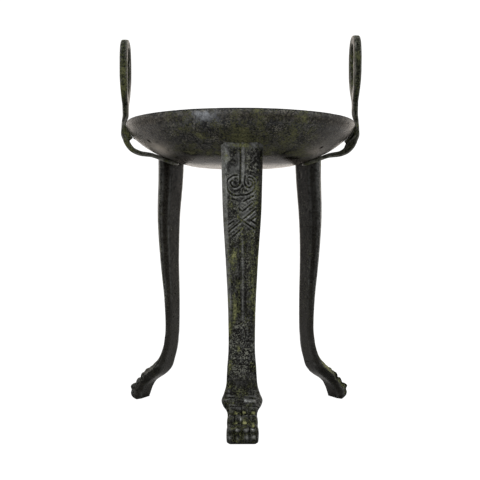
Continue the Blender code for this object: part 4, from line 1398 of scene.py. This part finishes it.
@dataclass
class Studio:
    """Floor, soft lights and the camera."""

    place: tuple[float, float, float] = (-0.0183, -1.0318, 0.2492)
    pitch: float = 0.02313
    yaw: float = 0.01717
    roll: float = 0.00156
    focal: float = 790.67
    image: float = 480.0
    sensor: float = 36.0
    floor_size: float = 12.0
    # Light of the white surroundings as the camera sees them
    white: Colour = (1.15, 1.15, 1.15)
    # Half width, distance and height of the sheet behind the vessel
    backdrop: tuple[float, float, float] = (2.4, 1.7, 2.4)

    def camera(self) -> None:
        """Camera at the photograph's viewing angle."""
        data = bpy.data.cameras.new("camera")
        data.sensor_width = self.sensor
        data.lens = self.focal * self.sensor / self.image
        camera = bpy.data.objects.new("camera", data)
        bpy.context.scene.collection.objects.link(camera)
        forward = Vector((math.sin(self.yaw) * math.cos(self.pitch),
                          math.cos(self.yaw) * math.cos(self.pitch), -math.sin(self.pitch)))
        turn = forward.to_track_quat("-Z", "Y").to_matrix().to_4x4()
        roll = Matrix.Rotation(self.roll, 4, "Z")
        camera.matrix_world = Matrix.Translation(self.place) @ turn @ roll
        bpy.context.scene.camera = camera

    def sheet(self, name: str, corners: tuple[tuple[float, float, float], ...], colour: float,
              glow: Colour, seen_only: bool) -> None:
        """Flat white sheet of the studio.

        Args:
            name: Name of the piece.
            corners: Its four corners.
            colour: Brightness of its paint.
            glow: Colour of the even light that it shows.
            seen_only: Show that light to the camera alone.
        """
        mesh = bpy.data.meshes.new(name)
        mesh.from_pydata(corners, [], [(0, 1, 2, 3)])
        piece = bpy.data.objects.new(name, mesh)
        bpy.context.scene.collection.objects.link(piece)
        material = bpy.data.materials.new(name + "_white")
        material.use_nodes = True
        tree = material.node_tree
        nodes = Nodes(tree)
        shader = tree.nodes["Principled BSDF"]
        shader.inputs["Base Color"].default_value = paint((colour, colour, colour))
        shader.inputs["Roughness"].default_value = 0.9
        seen = nodes.add("ShaderNodeLightPath").outputs["Is Camera Ray"]
        light = nodes.add("ShaderNodeEmission", Strength=1.0, Color=nodes.blend(
            seen, paint(glow), paint(self.white)))
        mix = nodes.add("ShaderNodeMixShader", Fac=0.93)
        if seen_only:
            nodes.put(mix.inputs[0], nodes.math("MULTIPLY", seen, 0.93))
        nodes.put(mix.inputs[1], shader.outputs[0])
        nodes.put(mix.inputs[2], light.outputs[0])
        nodes.put(tree.nodes["Material Output"].inputs["Surface"], mix.outputs[0])
        mesh.materials.append(material)

    def sheets(self) -> None:
        """Wide white floor and the lit sheet that stands behind the vessel."""
        half, low = self.floor_size / 2, -0.0002
        self.sheet("floor", ((-half, -half, low), (half, -half, low), (half, half, low),
                             (-half, half, low)), 0.45, self.white, True)
        wide, back, tall = self.backdrop
        self.sheet("backdrop", ((-wide, back, 0.0), (wide, back, 0.0), (wide, back, tall),
                                (-wide, back, tall)), 0.8, (1.36, 1.25, 1.14), False)

    def world(self) -> None:
        """White surroundings that light the object softly."""
        world = bpy.data.worlds.new("white_room")
        bpy.context.scene.world = world
        world.use_nodes = True
        nodes = Nodes(world.node_tree)
        tree = world.node_tree
        tree.nodes.clear()
        seen = nodes.add("ShaderNodeLightPath").outputs["Is Camera Ray"]
        strength = nodes.math("ADD", 0.28, nodes.math("MULTIPLY", seen, 0.92))
        back = nodes.add("ShaderNodeBackground", Color=(1.0, 1.0, 1.0, 1.0), Strength=strength)
        out = nodes.add("ShaderNodeOutputWorld")
        nodes.put(out.inputs["Surface"], back.outputs[0])

    def light(self, name: str, place: tuple[float, float, float], power: float,
              size: float) -> None:
        """Square soft light that points at the vessel."""
        data = bpy.data.lights.new(name, "AREA")
        data.energy = power
        data.size = size
        lamp = bpy.data.objects.new(name, data)
        bpy.context.scene.collection.objects.link(lamp)
        lamp.location = place
        aim = Vector((0.0, 0.0, 0.25)) - Vector(place)
        lamp.rotation_euler = aim.to_track_quat("-Z", "Y").to_euler()

    def build(self) -> None:
        """Set up the studio."""
        bpy.context.scene.view_settings.view_transform = "Standard"
        self.camera()
        self.sheets()
        self.world()
        self.light("key", (-1.2, -1.4, 1.4), 17.0, 0.6)
        self.light("top_front", (-0.1, -1.2, 2.0), 9.0, 0.6)
        self.light("top_back", (0.2, 0.7, 2.2), 8.0, 1.2)
        self.light("right_side", (1.7, -0.7, 0.9), 9.0, 0.9)
        log.info("studio ready")


def main() -> None:
    """Build the vessel's looks."""
    logging.basicConfig(level=logging.INFO, format="%(name)s: %(message)s")
    kit = PatinaKit.build()
    dish = DISH_FINISH.material(kit)
    leg = LEG_FINISH.material(kit)
    handle = HANDLE_FINISH.material(kit)
    Dish().build(dish)
    Leg("leg_front", 0.0, 21).build(leg)
    Leg("leg_left", -120.0, 43, bright=0.2).build(leg)
    Leg("leg_right", 120.0, 67, bright=0.2, paw_growth=0.7).build(leg)
    Handle(Side.LEFT, "handle_left", 0.0176, 81).build(handle)
    Handle(Side.RIGHT, "handle_right", 0.0249, 97, lug_drop=0.49, bend_swell=0.0045).build(handle)
    Studio().build()


if __name__ == "__main__":
    main()
